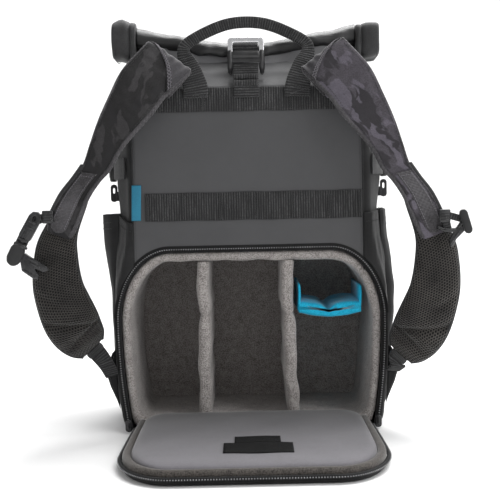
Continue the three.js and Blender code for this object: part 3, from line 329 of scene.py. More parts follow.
class Finish(Graph):
    """A material with its Principled shader, a cloth map in metres and the object's own place."""

    def __init__(self, name, rough=0.8, sheen=0.0, specular=0.35):
        self.material = bpy.data.materials.new(name)
        self.material.use_nodes = True
        super().__init__(self.material.node_tree)
        self.shader = self.tree.nodes["Principled BSDF"]
        self.shader.inputs["Roughness"].default_value = rough
        self.shader.inputs["Specular IOR Level"].default_value = specular
        self.shader.inputs["Sheen Weight"].default_value = sheen
        self.shader.inputs["Sheen Roughness"].default_value = 0.4
        self.cloth = self.node("UVMap", uv_map="Cloth").outputs[0]
        self.place = self.node("TexCoord").outputs["Object"]

    def use(self, group, **values):
        made = self.node("Group", node_tree=group)
        for label, value in values.items():
            self.feed(made.inputs[label], value)
        return made.outputs

    def bump(self, layers):
        """Bump from rows of (height, distance in millimetres, strength), first one underneath."""
        normal = None
        for height, distance, strength in layers:
            made = self.node("Bump")
            made.inputs["Distance"].default_value = distance * MM
            made.inputs["Strength"].default_value = strength
            self.feed(made.inputs["Height"], height)
            self.feed(made.inputs["Normal"], normal)
            normal = made.outputs[0]
        self.feed(self.shader.inputs["Normal"], normal)

    def color(self, value):
        self.feed(self.shader.inputs["Base Color"], value)

    def roughness(self, value):
        self.feed(self.shader.inputs["Roughness"], value)


def woven_finish(name, dark, light, thread, rough, bump_mm=0.12, sheen=0.1, specular=0.35, crease=1.0):
    """Plain cloth: weave, uneven yarn, creases and handling marks."""
    f = Finish(name, rough, sheen, specular)
    w = f.use(weave, Place=f.cloth, Thread=thread)
    h = f.use(handled, Place=f.place, Size=22.0)
    shade = f.math("ADD", f.math("MULTIPLY", h["Mark"], 0.45), f.math("MULTIPLY", w["Yarn"], 0.55))
    f.color(f.mix(shade, tone(dark), tone(light)))
    f.roughness(f.span(h["Mark"], 0, 1, rough + 0.06, rough - 0.06))
    f.bump([(h["Height"], 1.1 * crease, 0.35), (w["Height"], bump_mm, 0.5)])
    return f.material


coated = woven_finish("coated_cloth", 0x3c3c3e, 0x424244, 0.00045, 0.5, 0.03, 0.05, 0.6, 0.4)
gusset = woven_finish("packcloth", 0x0c0c0d, 0x232324, 0.0008, 0.72, 0.15, 0.12, 0.35)

BODY_ROWS = np.array([
    # height, back, side, rear, front, slope: shares of height, half width and half depth
    (0.000, 0.900, 0.905, 1.00, 0.95, 0.08), (0.013, 0.930, 0.930, 1.00, 0.98, 0.10),
    (0.036, 0.950, 0.950, 1.00, 1.00, 0.12), (0.102, 0.968, 0.970, 1.00, 1.02, 0.16),
    (0.243, 0.985, 0.975, 1.00, 1.03, 0.18), (0.384, 0.965, 0.972, 1.00, 1.03, 0.22),
    (0.455, 0.920, 0.968, 1.00, 1.02, 0.28), (0.512, 0.885, 0.955, 1.00, 1.01, 0.34),
    (0.593, 0.872, 0.945, 1.00, 0.99, 0.40), (0.670, 0.872, 0.970, 1.00, 0.98, 0.42),
    (0.870, 0.872, 0.968, 1.00, 0.86, 0.45), (0.923, 0.865, 0.955, 0.99, 0.70, 0.45),
    (0.967, 0.850, 0.930, 0.82, 0.34, 0.35), (1.000, 0.770, 0.790, 0.65, -0.1, 0.10)])
REAR_CORNER, FRONT_CORNER, FRONT_SWELL, TOP_RISE, WALL = 6, 26, 4, 4.5, 2.5
SEAM_LEFT, SEAM_RIGHT = 122.0, 119.5
PANEL_COLUMNS, FLANK_COLUMNS = 64, 136


def body_share(column, z):
    return np.interp(z / BODY_HEIGHT, BODY_ROWS[:, 0], BODY_ROWS[:, column])


def even_points(path, count):
    """The path's own ends and evenly spaced points between them."""
    path = np.asarray(path, float)
    length = np.concatenate([[0], np.cumsum(np.linalg.norm(np.diff(path, axis=0), axis=1))])
    at = np.linspace(0, length[-1], count)
    return np.stack([np.interp(at, length, path[:, k]) for k in range(path.shape[1])], axis=1)


def body_ring(z, inset=0.0):
    """Section of the body at a height: the panel from seam to seam, then round both flanks."""
    back, side, rear, front, slope = (body_share(k, z) for k in range(1, 6))
    back, side = back * BODY_HALF - inset, side * BODY_HALF - inset
    rear, front = -rear * DEPTH_HALF + inset, front * DEPTH_HALF - inset
    corner = min(FRONT_CORNER, (front - rear) * 0.3)
    end = rear + slope * DEPTH_HALF
    cut = 1 - math.sqrt(0.5)
    half = [(back - REAR_CORNER, rear),
            (back - REAR_CORNER * cut, rear + REAR_CORNER * cut), (back, min(rear + REAR_CORNER, end)),
            (side, end + CLEAR), (side, (end + front - corner) / 2), (side, front - corner),
            (side - corner * cut, front - corner * cut), (side - corner, front),
            ((side - corner) / 2, front + FRONT_SWELL * 0.9), (0, front + FRONT_SWELL)]
    left, right = (min(seam, back - REAR_CORNER - 1) for seam in (SEAM_LEFT, SEAM_RIGHT))
    panel = [(x, rear) for x in np.linspace(-left, right, PANEL_COLUMNS)]
    flank = [(right, rear)] + half + [(-x, y) for x, y in half[-2::-1]] + [(-left, rear)]
    ring = np.concatenate([panel, even_points(flank, FLANK_COLUMNS + 2)[1:-1]])
    top = np.clip((z / BODY_HEIGHT - 0.967) / 0.033, 0, 1)
    lift = top * TOP_RISE * (ring[:, 0] / max(side, 1)) ** 2
    return np.column_stack([ring, z + lift])


def body_rings(inset, rows):
    heights = np.concatenate([np.linspace(inset, 8, 5)[:-1], np.linspace(8, 340, rows)[:-1],
                              np.linspace(340, BODY_HEIGHT - inset, rows // 3)])
    return np.array([body_ring(z, inset) for z in heights])


outer = body_rings(0.0, 96)
dent = folds(outer, 95, 3) + 0.45 * folds(outer, 34, 4)
away = outer.copy()
away[..., 2] = 0
away /= np.linalg.norm(away, axis=2, keepdims=True)
flat_panel = np.clip((-outer[..., 1] - 70) / 8, 0, 1)
firm_base = np.clip(outer[..., 2] / 40, 0, 1)
firm_top = np.clip((392 - outer[..., 2]) / 25, 0.2, 1)
depth = (1.0 - 0.93 * flat_panel) * firm_base * firm_top
outer = outer + away * (dent * 1.1 * depth - 0.6 * (1 - flat_panel))[..., None]
body = skin("bag_body", outer, coated)
body.data.materials.append(gusset)
column = np.arange(len(body.data.polygons)) % (PANEL_COLUMNS + FLANK_COLUMNS)
body.data.polygons.foreach_set("material_index", (column >= PANEL_COLUMNS - 1).astype(np.int32))
inner = skin("bag_hollow", body_rings(WALL, 40), coated)

# The doorway: elliptic upper corners over sides that draw in to the foot.
DOOR_HALF, DOOR_LOW_HALF, DOOR_LOW, DOOR_TOP, DOOR_WIDE, DOOR_TALL = 140.5, 131, 3.5, 193, 56, 75


def door_path(half, low_half, low, top, wide, tall, inset=0.0, foot=None, steps=64):
    """Half of a door outline from its foot up to the middle of its top, evenly spaced, as x and z."""
    crown = top - tall
    foot = low if foot is None else foot
    z = np.linspace(foot, crown, 40)
    x = half - inset - (half - low_half) * ((crown - z) / (crown - low)) ** 2
    angle = np.linspace(0, math.pi / 2, 60)[1:]
    x = np.concatenate([x, half - wide + (wide - inset) * np.cos(angle), [0]])
    z = np.concatenate([z, crown + (tall - inset) * np.sin(angle), [top - inset]])
    length = np.concatenate([[0], np.cumsum(np.hypot(np.diff(x), np.diff(z)))])
    at = np.linspace(0, length[-1], steps)
    return np.stack([np.interp(at, length, x), np.interp(at, length, z)], axis=1)


def doorway(inset, foot=None, steps=64):
    """Whole doorway outline from its left foot over the top to its right foot."""
    right = door_path(DOOR_HALF, DOOR_LOW_HALF, DOOR_LOW, DOOR_TOP, DOOR_WIDE, DOOR_TALL, inset, foot, steps)
    left = right * [-1, 1]
    return np.concatenate([left, right[-2::-1]])


hole = doorway(3.2)
cutter = skin("door_cutter", [[(x, y, z) for x, z in hole] for y in (-90, -74)], coated)
for tool in (inner, cutter):
    cut = body.modifiers.new("cut", "BOOLEAN")
    cut.object, cut.operation, cut.solver = tool, "DIFFERENCE", "EXACT"
apply_modifiers(body)
for tool in (inner, cutter):
    bpy.data.objects.remove(tool)
body.data.polygons.foreach_set("use_smooth", [True] * len(body.data.polygons))
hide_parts("bag_shell")

# Padded lining: foam under brushed heather cloth, an open box behind the doorway whose front
# lip is a soft rolled edge beside the zip.
LINING_INSET, LINING_WALL, LINING_NEAR, LINING_FAR, LINING_FLOOR = 3.55, 9.7, -77.2, 58.8, 2.8


def heather_finish(name, dark, light, bump_mm=0.35, rough=0.95, fleck=1500.0):
    f = Finish(name, rough, 0.35, 0.2)
    h = f.use(heather, Place=f.place, Fleck=fleck)
    soft = f.use(handled, Place=f.place, Size=30.0)
    f.color(f.mix(h["Mix"], tone(dark), tone(light)))
    f.bump([(soft["Height"], 0.8, 0.3), (h["Height"], bump_mm, 0.55)])
    return f.material


lining_cloth = heather_finish("brushed_heather", 0x6a6563, 0xb6b1ae, 0.4, 0.95, 900.0)


def close_foot(arch, foot, radius, count=150):
    """Closes an arch along its foot with rounded lower corners, evenly spaced."""
    left = arch[0]
    turn = np.linspace(0, math.pi / 2, 9)
    foot_left = [(left[0] + radius * (1 - math.cos(a)), foot + radius * (1 - math.sin(a))) for a in turn]
    foot_right = [(-x, z) for x, z in foot_left]
    keep = arch[arch[:, 1] > foot + radius]
    ring = np.concatenate([keep, foot_right, foot_left[::-1], keep[:1]])
    return even_points(ring, count + 1)[:-1]


def lining_ring(y, inset):
    foot = LINING_FLOOR + inset
    ring = close_foot(doorway(LINING_INSET + inset, foot, 48), foot, 9.0)
    return np.stack([ring[:, 0], np.full(len(ring), y), ring[:, 1]], axis=1)


lip = [(0.0, 3.5), (0.25, 1.6), (1.4, 0.4), (3.4, 0.0), (5.6, 0.2), (7.6, 1.2), (9.1, 3.2), (9.7, 6.0)]
rows = [lining_ring(y, 0) for y in np.linspace(LINING_FAR, LINING_NEAR + 3.5, 8)[:-1]]
rows += [lining_ring(LINING_NEAR + back, inset) for inset, back in lip]
rows += [lining_ring(y, LINING_WALL)
         for y in np.linspace(LINING_NEAR + 6, LINING_FAR - LINING_WALL - 4, 26)[1:]]
rows += [lining_ring(LINING_FAR - LINING_WALL - back, LINING_WALL + inset)
         for inset, back in ((0.6, 1.4), (2.2, 0.4), (5, 0), (12, 0), (24, 0), (38, 0))]
rows = np.array(rows)
puff = folds(rows, 46, 11) + 0.4 * folds(rows, 17, 12)
inward = rows * [1, 0, 1] - [0, 0, 95]
inward /= np.linalg.norm(inward, axis=2, keepdims=True)
inner_side = np.arange(len(rows)) > 8
rows -= inward * (np.clip(puff, -1, 1) * 0.9)[..., None] * inner_side[:, None, None]
lining = skin("padded_lining", rows, lining_cloth)
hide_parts("compartment_lining")

# Dividers: foam slabs in the same cloth, held upright by hook tape. A cross seam pinches each
# one at two thirds of its height, and the cloth waves a little down its front edge.
DIVIDER_LOW, DIVIDER_TALL, DIVIDER_NEAR, DIVIDER_DEEP, DIVIDER_THICK = 12.8, 166.6, -74.2, 123.0, 13.5
CROSS_SEAM = 0.655


def divider(name, node, x, bow, seed):
    rings = []
    for share in np.concatenate([[0.0, 0.012], np.linspace(0.03, 0.97, 78), [0.988, 1.0]]):
        z = DIVIDER_LOW + share * DIVIDER_TALL
        from_seam = share - CROSS_SEAM
        pinch = 2.1 * math.exp(-(from_seam / 0.011) ** 2) + 0.6 * math.exp(-(from_seam / 0.05) ** 2)
        end = min(share, 1 - share) * DIVIDER_TALL
        narrow = 1.2 * math.exp(-end / 1.5)
        half = DIVIDER_THICK / 2 - pinch - narrow
        wave = 0.8 * math.sin(share * 11 + seed) + 0.5 * math.sin(share * 27 + 2 * seed)
        middle_x = x + bow * (1 - share) ** 2 + wave * min(1, end / 20)
        section = []
        for a in np.linspace(0, 2 * math.pi, 56, endpoint=False):
            cx, cy = math.cos(a), math.sin(a)
            power = 0.34
            px = math.copysign(abs(cx) ** power, cx)
            py = math.copysign(abs(cy) ** 0.12, cy)
            deep = (DIVIDER_DEEP / 2) * py
            nose = max(0.0, abs(deep) - (DIVIDER_DEEP / 2 - 6)) / 6
            section.append((middle_x + half * px * math.sqrt(max(0.02, 1 - 0.55 * nose ** 2)),
                            DIVIDER_NEAR + DIVIDER_DEEP / 2 + deep + pinch * 0.6 * (py < 0), z))
        rings.append(section)
    rings = np.array(rings)
    rings[..., 0] += 0.5 * folds(rings, 28, seed + 20)
    made = skin(name, rings, lining_cloth)
    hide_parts(node)
    return made


divider("left_divider", "divider_left", -49.98, -1, 1)
divider("right_divider", "divider_right", 39.01, 5, 2)

# Folding shelf: two thin cushions of teal cloth that meet in a V crease, with hook-tape ends
# turned up against the divider and the lining.
teal_cloth = heather_finish("teal_cloth", 0x0c94bb, 0x2cc6ec, 0.2, 0.85, 1300.0)
SHELF_LEFT, SHELF_RIGHT, SHELF_NEAR, SHELF_DEEP = 50.05, 118.3, -65.2, 95


def shelf_section(t, back):
    """Upper and lower height of the shelf at a share of its width; back is 0 at the front edge."""
    crease = math.exp(-((t - 0.47) / 0.07) ** 2)
    belly = math.sin(math.pi * min(1, t / 0.47)) if t < 0.47 else math.sin(math.pi * (t - 0.47) / 0.53)
    top = 133.0 - 2.6 * crease - 5.5 * (1 - abs(2 * t - 0.94)) + 2.2 * belly
    low = 121.0 - 4.2 * math.sin(math.pi * t) - 0.4 * belly
    ease = 1 - math.exp(-(back + 0.15) / 1.6)
    mid = (top + low) / 2
    return mid + (top - mid) * ease ** 0.5, mid + (low - mid) * ease ** 0.5


shelf_rings = []
for y in np.concatenate([[0, 0.6, 1.6, 3.2, 5.5], np.linspace(9, SHELF_DEEP - 4, 18),
                         [SHELF_DEEP - 1, SHELF_DEEP]]):
    back = min(y, SHELF_DEEP - y)
    across = np.linspace(0.012, 0.988, 44)
    tops = [shelf_section(t, back) for t in across]
    xs = SHELF_LEFT + (SHELF_RIGHT - SHELF_LEFT) * across
    upper = [(x, SHELF_NEAR + y, t[0]) for x, t in zip(xs, tops)]
    lower = [(x, SHELF_NEAR + y, t[1]) for x, t in zip(xs, tops)]
    shelf_rings.append(upper + lower[::-1])
shelf_rings = np.array(shelf_rings)
shelf_rings[..., 2] += 0.5 * folds(shelf_rings, 22, 31)
shelf = skin("teal_shelf", shelf_rings, teal_cloth)
for name, x, top in (("shelf_end_left", SHELF_LEFT + 1.4, 152), ("shelf_end_right", SHELF_RIGHT - 1.5, 150)):
    tab = []
    for z in np.linspace(124, top, 16):
        ease = min(1, (top - z) / 3)
        front = SHELF_NEAR + 1 + 2.5 * (1 - ease)
        lean = 0.5 * math.sin(z / 7)
        tab.append([(x + lean + sx * 1.2, front + dy, z) for sx, dy in (
            (-1, 0.6), (0, 0), (1, 0.6), (1, 30), (1, 60), (1, SHELF_DEEP - 4), (-1, SHELF_DEEP - 4),
            (-1, 30))])
    end = skin(name, tab, teal_cloth)
    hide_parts("divider_shelf")
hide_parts("divider_shelf")

# Zips: black woven tape round the doorway and round the door, each carrying one side of a
# nylon coil, with a moulded slider and pull at each foot.


def plastic_finish(name, color, rough=0.42, light=None):
    f = Finish(name, rough, 0.0, 0.5)
    h = f.use(handled, Place=f.place, Size=90.0)
    f.color(f.mix(h["Mark"], tone(color), tone(light or color)))
    f.roughness(f.span(h["Mark"], 0, 1, rough - 0.07, rough + 0.1))
    grit = f.noise(f.place, 2600, 2)
    f.bump([(h["Height"], 0.2, 0.3), (grit, 0.03, 0.4)])
    return f.material


zip_tape = woven_finish("zip_tape", 0x0b0b0c, 0x151516, 0.0006, 0.8, 0.1, 0.05)
coil_nylon = plastic_finish("coil_nylon", 0x6e6e70, 0.35, 0x9a9a9c)
black_plastic = plastic_finish("black_acetal", 0x1d1d1e, 0.38, 0x2b2b2c)


def outline_strip(path, lift):
    """Cross vectors of a flat path: unit side vectors pointing out of the outline."""
    run = np.gradient(path, axis=0)
    run /= np.linalg.norm(run, axis=1, keepdims=True)
    return np.stack([-run[:, 1], run[:, 0]], axis=1) * lift


def swept(name, path, to_space, profile, look, closed=True):
    """Sweeps profile rows (side, height) along a flat path; to_space turns (a, b, height) to x, y, z."""
    side = outline_strip(path, 1.0)
    rings = [[to_space(p[0] + s * n[0], p[1] + s * n[1], h) for s, h in profile] for p, n in zip(path, side)]
    return skin(name, rings, look, closed)


def box_rows(name, spots, look):
    """One mesh of many small rounded boxes; spots rows are (centre, long, wide, tall vectors)."""
    points, faces = [], []
    shape = [(-1, -0.6, -0.6), (-1, 0.6, -0.6), (-1, 0.6, 0.6), (-1, -0.6, 0.6),
             (-0.6, -1, -1), (-0.6, 1, -1), (-0.6, 1, 1), (-0.6, -1, 1),
             (0.6, -1, -1), (0.6, 1, -1), (0.6, 1, 1), (0.6, -1, 1),
             (1, -0.6, -0.6), (1, 0.6, -0.6), (1, 0.6, 0.6), (1, -0.6, 0.6)]
    hull = [(3, 2, 1, 0), (12, 13, 14, 15)]
    for k in range(3):
        hull += [(4 * k + i, 4 * k + (i + 1) % 4, 4 * k + 4 + (i + 1) % 4, 4 * k + 4 + i) for i in range(4)]
    for centre, long, wide, tall in spots:
        base = len(points)
        centre, long, wide, tall = (np.asarray(v, float) for v in (centre, long, wide, tall))
        points += [tuple((centre + a * long + b * wide + c * tall) * MM) for a, b, c in shape]
        faces += [tuple(base + i for i in f) for f in hull]
    return mesh_piece(name, points, faces, None, look)


def even_path(path, pitch):
    """Places and unit directions every pitch millimetres along a path."""
    path = np.asarray(path, float)
    length = np.concatenate([[0], np.cumsum(np.linalg.norm(np.diff(path, axis=0), axis=1))])
    at = np.arange(pitch / 2, length[-1], pitch)
    spots = np.stack([np.interp(at, length, path[:, k]) for k in range(path.shape[1])], axis=1)
    ahead = np.stack([np.interp(at + 0.5, length, path[:, k]) for k in range(path.shape[1])], axis=1)
    behind = np.stack([np.interp(at - 0.5, length, path[:, k]) for k in range(path.shape[1])], axis=1)
    run = ahead - behind
    return spots, run / np.maximum(np.linalg.norm(run, axis=1, keepdims=True), 1e-9)


PANEL_FACE = -DEPTH_HALF - CLEAR


def on_panel(a, b, h):
    return (a, PANEL_FACE - h, b)


body_zip_path = doorway(0, 8, 120)
tape_profile = [(-3.4, 0.0), (-3.2, 0.7), (-0.4, 1.1), (0, 1.5), (0.6, 1.1), (3.3, 0.7), (3.6, 0.0)]
tape = swept("doorway_zip_tape", body_zip_path, on_panel, tape_profile, zip_tape)
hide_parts("zip_track_body")
spots, run = even_path(body_zip_path, 2.5)
teeth = [((x, PANEL_FACE - 1.7, z), (0.55 * dx, 0, 0.55 * dz), (-0.6 * dz, 0, 0.6 * dx), (0, 0.75, 0))
         for (x, z), (dx, dz) in zip(spots, run)]
coil = box_rows("doorway_zip_coil", teeth, coil_nylon)
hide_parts("zip_track_body")

FLAP_HALF, FLAP_LOW_HALF, FLAP_TOP, FLAP_WIDE, FLAP_TALL = 123, 121, 205, 50, 80


def door_outline(inset, foot, steps=64):
    right = door_path(FLAP_HALF, FLAP_LOW_HALF, 0, FLAP_TOP, FLAP_WIDE, FLAP_TALL, inset, foot, steps)
    return np.concatenate([right * [-1, 1], right[-2::-1]])


def on_floor(a, b, h):
    return (a, PANEL_FACE - b, h)


flap_zip_path = door_outline(-1.9, 14, 120)
flap_tape_profile = [(-1.5, 5.0), (-1.7, 8.2), (0.2, 8.6), (1.6, 8.0), (2.0, 6.4), (1.2, 5.0)]
flap_tape = swept("door_zip_tape", flap_zip_path, on_floor, flap_tape_profile, zip_tape)
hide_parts("zip_track_door")
spots, run = even_path(door_outline(-4.1, 14, 120), 2.5)
teeth = [((x, PANEL_FACE - v, 6.8), (0.55 * dx, -0.55 * dv, 0), (-0.5 * dv, -0.5 * dx, 0), (0, 0, 0.5))
         for (x, v), (dx, dv) in zip(spots, run)]
flap_coil = box_rows("door_zip_coil", teeth, coil_nylon)
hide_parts("zip_track_door")

# Let-down door: a stiffened cloth tray lying face down on the floor, its padded rim bound in
# heather cloth, with a crowned brushed pad inside and a woven label sewn to it, left bare.
rim_cloth = heather_finish("rim_binding", 0x2b2927, 0x5f5a56, 0.3, 0.95, 820.0)
floor_cloth = gusset
tray_rows = []
for inset, h in ((16, 0.6), (0.8, 0.6), (0.2, 1.2), (0.2, 4.8), (1.5, 5.2), (16, 5.2)):
    arch = door_outline(inset, 0.0, 60)
    tray_rows.append([on_floor(x, v, h) for x, v in arch])
tray = skin("door_base", tray_rows, floor_cloth, closed=True, caps=True)
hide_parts("door_tray")

rim_profile = []
for a in np.linspace(0, 2 * math.pi, 22, endpoint=False):
    cx, cy = math.cos(a), math.sin(a)
    rim_profile.append((4.1 * math.copysign(abs(cx) ** 0.75, cx),
                        9.3 + 4.5 * math.copysign(abs(cy) ** 0.75, cy)))
rim_path = door_outline(4.2, 0.0, 130)
rim = swept("door_rim", rim_path, on_floor, rim_profile, rim_cloth)
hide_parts("door_tray")

def door_pad_finish_with_painted_shade():
    """Brushed cloth with painted shade near the hinge, turning lighter away from it."""
    f = Finish("door_pad_cloth", 0.85, 0.35, 0.2)
    h = f.use(heather, Place=f.place, Fleck=1500.0)
    away = f.node("SeparateXYZ")
    f.feed(away.inputs[0], f.place)
    # Painted shade: the colour runs from dark near the hinge to light at the door's far edge, for the bag's
    # shadow over the pad.
    hinge_shade = f.span(away.outputs[1], -0.09, -0.26)
    near = f.mix(h["Mix"], tone(0x282729), tone(0x323133))
    far = f.mix(h["Mix"], tone(0x6a686b), tone(0x77757a))
    f.color(f.mix(hinge_shade, near, far))
    f.bump([(h["Height"], 0.1, 0.5)])
    return f.material


pad_cloth = door_pad_finish_with_painted_shade()
PAD_EDGE, PAD_LOW = 8.5, 4.8


def pad_top(v):
    return 17 - 7 * v / FLAP_TOP


def pad_height(x, v, share=1.0):
    """Height of the cushion's top; share eases it down to the edge."""
    soft = 0.45 * folds(np.array([x, v, 0.0]), 55, 41)
    return PAD_LOW + (pad_top(v) + 1.3) * share + soft * max(0.0, share - 0.6) / 0.4


pad_rings = []
for inset, share in ((2.0, 0.0), (0.3, 0.2), (0, 0.42), (0.5, 0.64), (1.8, 0.8), (4, 0.905),
                     (7.5, 0.965), (12, 0.99), (20, 1.0), (30, 1.01), (38, 1.015)):
    arch = door_outline(PAD_EDGE + inset, 2 + inset, 90)
    flat_ring = close_foot(arch, 2 + inset, max(6.0, 24 - 0.3 * inset), 170)
    pad_rings.append([(x, PANEL_FACE - v, pad_height(x, v, share)) for x, v in flat_ring])
middle_v = flat_ring.mean(axis=0)
for scale in (0.88, 0.74, 0.58, 0.4, 0.2, 0.06):
    inside = middle_v + (flat_ring - middle_v) * scale
    pad_rings.append([(x, PANEL_FACE - v, pad_height(x, v, 1.02)) for x, v in inside])
pad_rings = np.array(pad_rings)
pad = skin("door_cushion", pad_rings, pad_cloth)
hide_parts("door_pad")

label_cloth = woven_finish("label_weave", 0x060606, 0x0e0e0f, 0.0005, 0.7, 0.08, 0.0, 0.2)


def floor_label(name, node, left, right, near, far, lift):
    rows = []
    for v in np.linspace(near, far, 12):
        row = []
        for x in np.linspace(left, right, 24):
            row.append((x, PANEL_FACE - v, pad_height(x, v, 1.02) + lift))
        rows.append(row)
    made = skin(name, rows, label_cloth, closed=False, caps=False)
    thickened(made, 0.6)
    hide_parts(node)


floor_label("pad_label", "door_label", -28, 36, 135, 166, 0.5)
floor_label("pad_label_small", "door_label_small", -18, 25, 112, 134, 0.5)

# Webbing: black polyester tape with thick weft ribs. Two bands are sewn across the panel, and
# every strap end, loop and handle leg is cut from the same tape.


def webbing_finish(name, dark, light, pitch=0.0026, warp=0.0017, bump_mm=0.5):
    f = Finish(name, 0.78, 0.15, 0.35)
    r = f.use(ribs, Place=f.cloth, Pitch=pitch, Warp=warp)
    h = f.use(handled, Place=f.place, Size=40.0)
    # Rib colour: painted shade in the grooves and painted highlight on the crowns, with uneven yarn and
    # handling marks.
    f.color(f.mix(f.math("MULTIPLY", r["Rib Shade And Yarn Tone"], f.span(h["Mark"], 0, 1, 0.6, 1)), tone(dark), tone(light)))
    f.bump([(h["Height"], 0.5, 0.3), (r["Height"], bump_mm, 0.7)])
    return f.material


webbing = webbing_finish("black_webbing", 0x161617, 0x5f5f60)
thread = woven_finish("stitch_thread", 0x343435, 0x4a4a4b, 0.0003, 0.6, 0.05)


def stitches(name, paths, facing, pitch=2.6, long=1.9, wide=0.32, tall=0.3, look=None):
    """Rows of machine stitches along paths of (x, y, z); facing is the direction off the cloth."""
    spots = []
    for path in paths:
        places, run = even_path(path, pitch)
        for place, way in zip(places, run):
            up = np.asarray(facing(place) if callable(facing) else facing, float)
            up /= np.linalg.norm(up)
            across = np.cross(up, way)
            spots.append((place + up * tall * 0.4, way * long / 2, across * wide, up * tall))
    return box_rows(name, spots, look or thread)


TOWARD_BACK = np.array([0.0, -1.0, 0.0])


def flat_band(name, node, left, right, low, high, face, thick, seed, tacks=()):
    """Band of webbing lying on the panel: rounded selvedges, faint scallops between the tacks."""
    rows = []
    for x in np.linspace(left, right, 150):
        row = []
        for share, rise in ((0.0, 0.0), (0.0, 0.6), (0.03, 0.95), (0.12, 1.0), (0.3, 0.94), (0.5, 0.92),
                            (0.7, 0.94), (0.88, 1.0), (0.97, 0.95), (1.0, 0.6), (1.0, 0.0)):
            near_tack = min([abs(x - t) for t in tacks] + [99])
            slack = 0.7 * (1 - math.exp(-(near_tack / 9) ** 2)) * math.sin(math.pi * share)
            z = low + (high - low) * share + 0.25 * math.sin(x / 9 + seed)
            row.append((x, face - thick * rise - slack, z))
        rows.append(row)
    made = skin(name, rows, webbing)
    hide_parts(node)
    return made


BAND_THICK = 1.9
upper_tacks = (-108, -46, 46, 108)
lower_tacks = (-106, -68, -30, 8, 46, 84, 116)
flat_band("upper_band", "web_band_upper", -112, 112, 336.2, 361, PANEL_FACE, BAND_THICK, 0, upper_tacks)
flat_band("lower_band", "web_band_lower", -109, 119, 223, 252, PANEL_FACE, BAND_THICK, 2, lower_tacks)
tack_rows = []
for tacks, low, high in ((upper_tacks, 337.5, 359.5), (lower_tacks, 224.5, 250.5)):
    for x in tacks:
        for dx in (-0.9, 0.9):
            tack_rows.append([(x + dx + (0.5 if k % 2 else -0.5), PANEL_FACE - 2.3, z)
                              for k, z in enumerate(np.arange(low, high, 1.2))])
stitches("band_tacks", tack_rows, TOWARD_BACK, pitch=1.4, long=1.3)

# Folded side tab of teal satin, caught in the panel's seam and left bare.
satin = woven_finish("teal_satin", 0x0f6682, 0x187f9d, 0.0004, 0.45, 0.05, 0.1, 0.5)
tab_rows = []
for z in np.linspace(224, 261, 30):
    slant = (z - 242) * 0.03
    tab_rows.append([(-123 + slant + dx, PANEL_FACE - h, z) for dx, h in (
        (0, 0.1), (0.2, 0.9), (1.2, 1.25), (5, 1.1), (9.2, 1.2), (10, 0.9), (10, 0.1))])
side_tab = skin("side_tab", tab_rows, satin)
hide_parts("side_label")

# Rolled top: the neck of the bag in coated cloth, folded over and rolled down, pressed flat in
# its middle by the closure and standing round at its ends in stitched cloth cuffs.
ROLL_TABLE = np.array([
    # share of the half length from the middle, then shares of the sag, the height and the depth
    (0, 1, 0.70, 1.00), (0.2, 0.94, 0.70, 1.0), (0.42, 0.75, 0.76, 0.98),
    (0.6, 0.38, 0.68, 0.95), (0.8, 0.20, 0.70, 0.93), (1, 0, 0.86, 0.90)])
ROLL_HALF, ROLL_TALL, ROLL_DEEP, ROLL_SAG, ROLL_Y = 117, 15, 24, 16, -30
ROLL_CENTRE = BODY_HEIGHT + CLEAR + ROLL_TALL * 0.7 + ROLL_SAG


def roll_at(x):
    share = abs(x) / ROLL_HALF
    return [np.interp(share, ROLL_TABLE[:, 0], ROLL_TABLE[:, k]) for k in (1, 2, 3)]


def roll_finish():
    f = Finish("roll_cloth", 0.4, 0.05, 0.65)
    w = f.use(weave, Place=f.cloth, Thread=0.0006)
    h = f.use(handled, Place=f.place, Size=26.0)
    crease = f.noise(f.place, 60, 4, 0.6, (0.25, 1, 1))
    f.color(f.mix(h["Mark"], tone(0x101011), tone(0x1f1f20)))
    f.roughness(f.span(h["Mark"], 0, 1, 0.46, 0.33))
    f.bump([(crease, 3.4, 0.5), (w["Height"], 0.1, 0.6)])
    return f.material


roll_cloth = roll_finish()
roll_rows = []
for x in np.linspace(-ROLL_HALF, ROLL_HALF, 132):
    drop, tall, deep = roll_at(x)
    row = []
    for a in np.linspace(0, 2 * math.pi, 90, endpoint=False):
        cx, cz = math.cos(a), math.sin(a)
        px = math.copysign(abs(cx) ** 0.82, cx)
        pz = math.copysign(abs(cz) ** 0.82, cz)
        turn = (a - math.radians(215)) % (2 * math.pi)
        layer = 1 - 0.075 * (1 - min(1, turn / 0.16)) - 0.02 * turn / 6.28
        row.append((x, ROLL_Y + deep * ROLL_DEEP * px * layer,
                    ROLL_CENTRE - drop * ROLL_SAG + tall * ROLL_TALL * pz * layer))
    roll_rows.append(row)
roll_rows = np.array(roll_rows)
wrinkle = 1.2 * folds(roll_rows * [0.55, 1, 1], 24, 51) + 0.7 * folds(roll_rows * [1, 1, 1], 13, 52)
out_way = roll_rows - np.array([0, ROLL_Y, ROLL_CENTRE])
out_way[..., 0] = 0
out_way /= np.linalg.norm(out_way, axis=2, keepdims=True)
ease = np.clip(1 - (np.abs(roll_rows[..., :1]) / ROLL_HALF) ** 12, 0, 1)
roll_rows += out_way * (np.clip(wrinkle, -1.9, 1.3))[..., None] * ease
roll = skin("rolled_top", roll_rows, roll_cloth)
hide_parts("bag_roll")

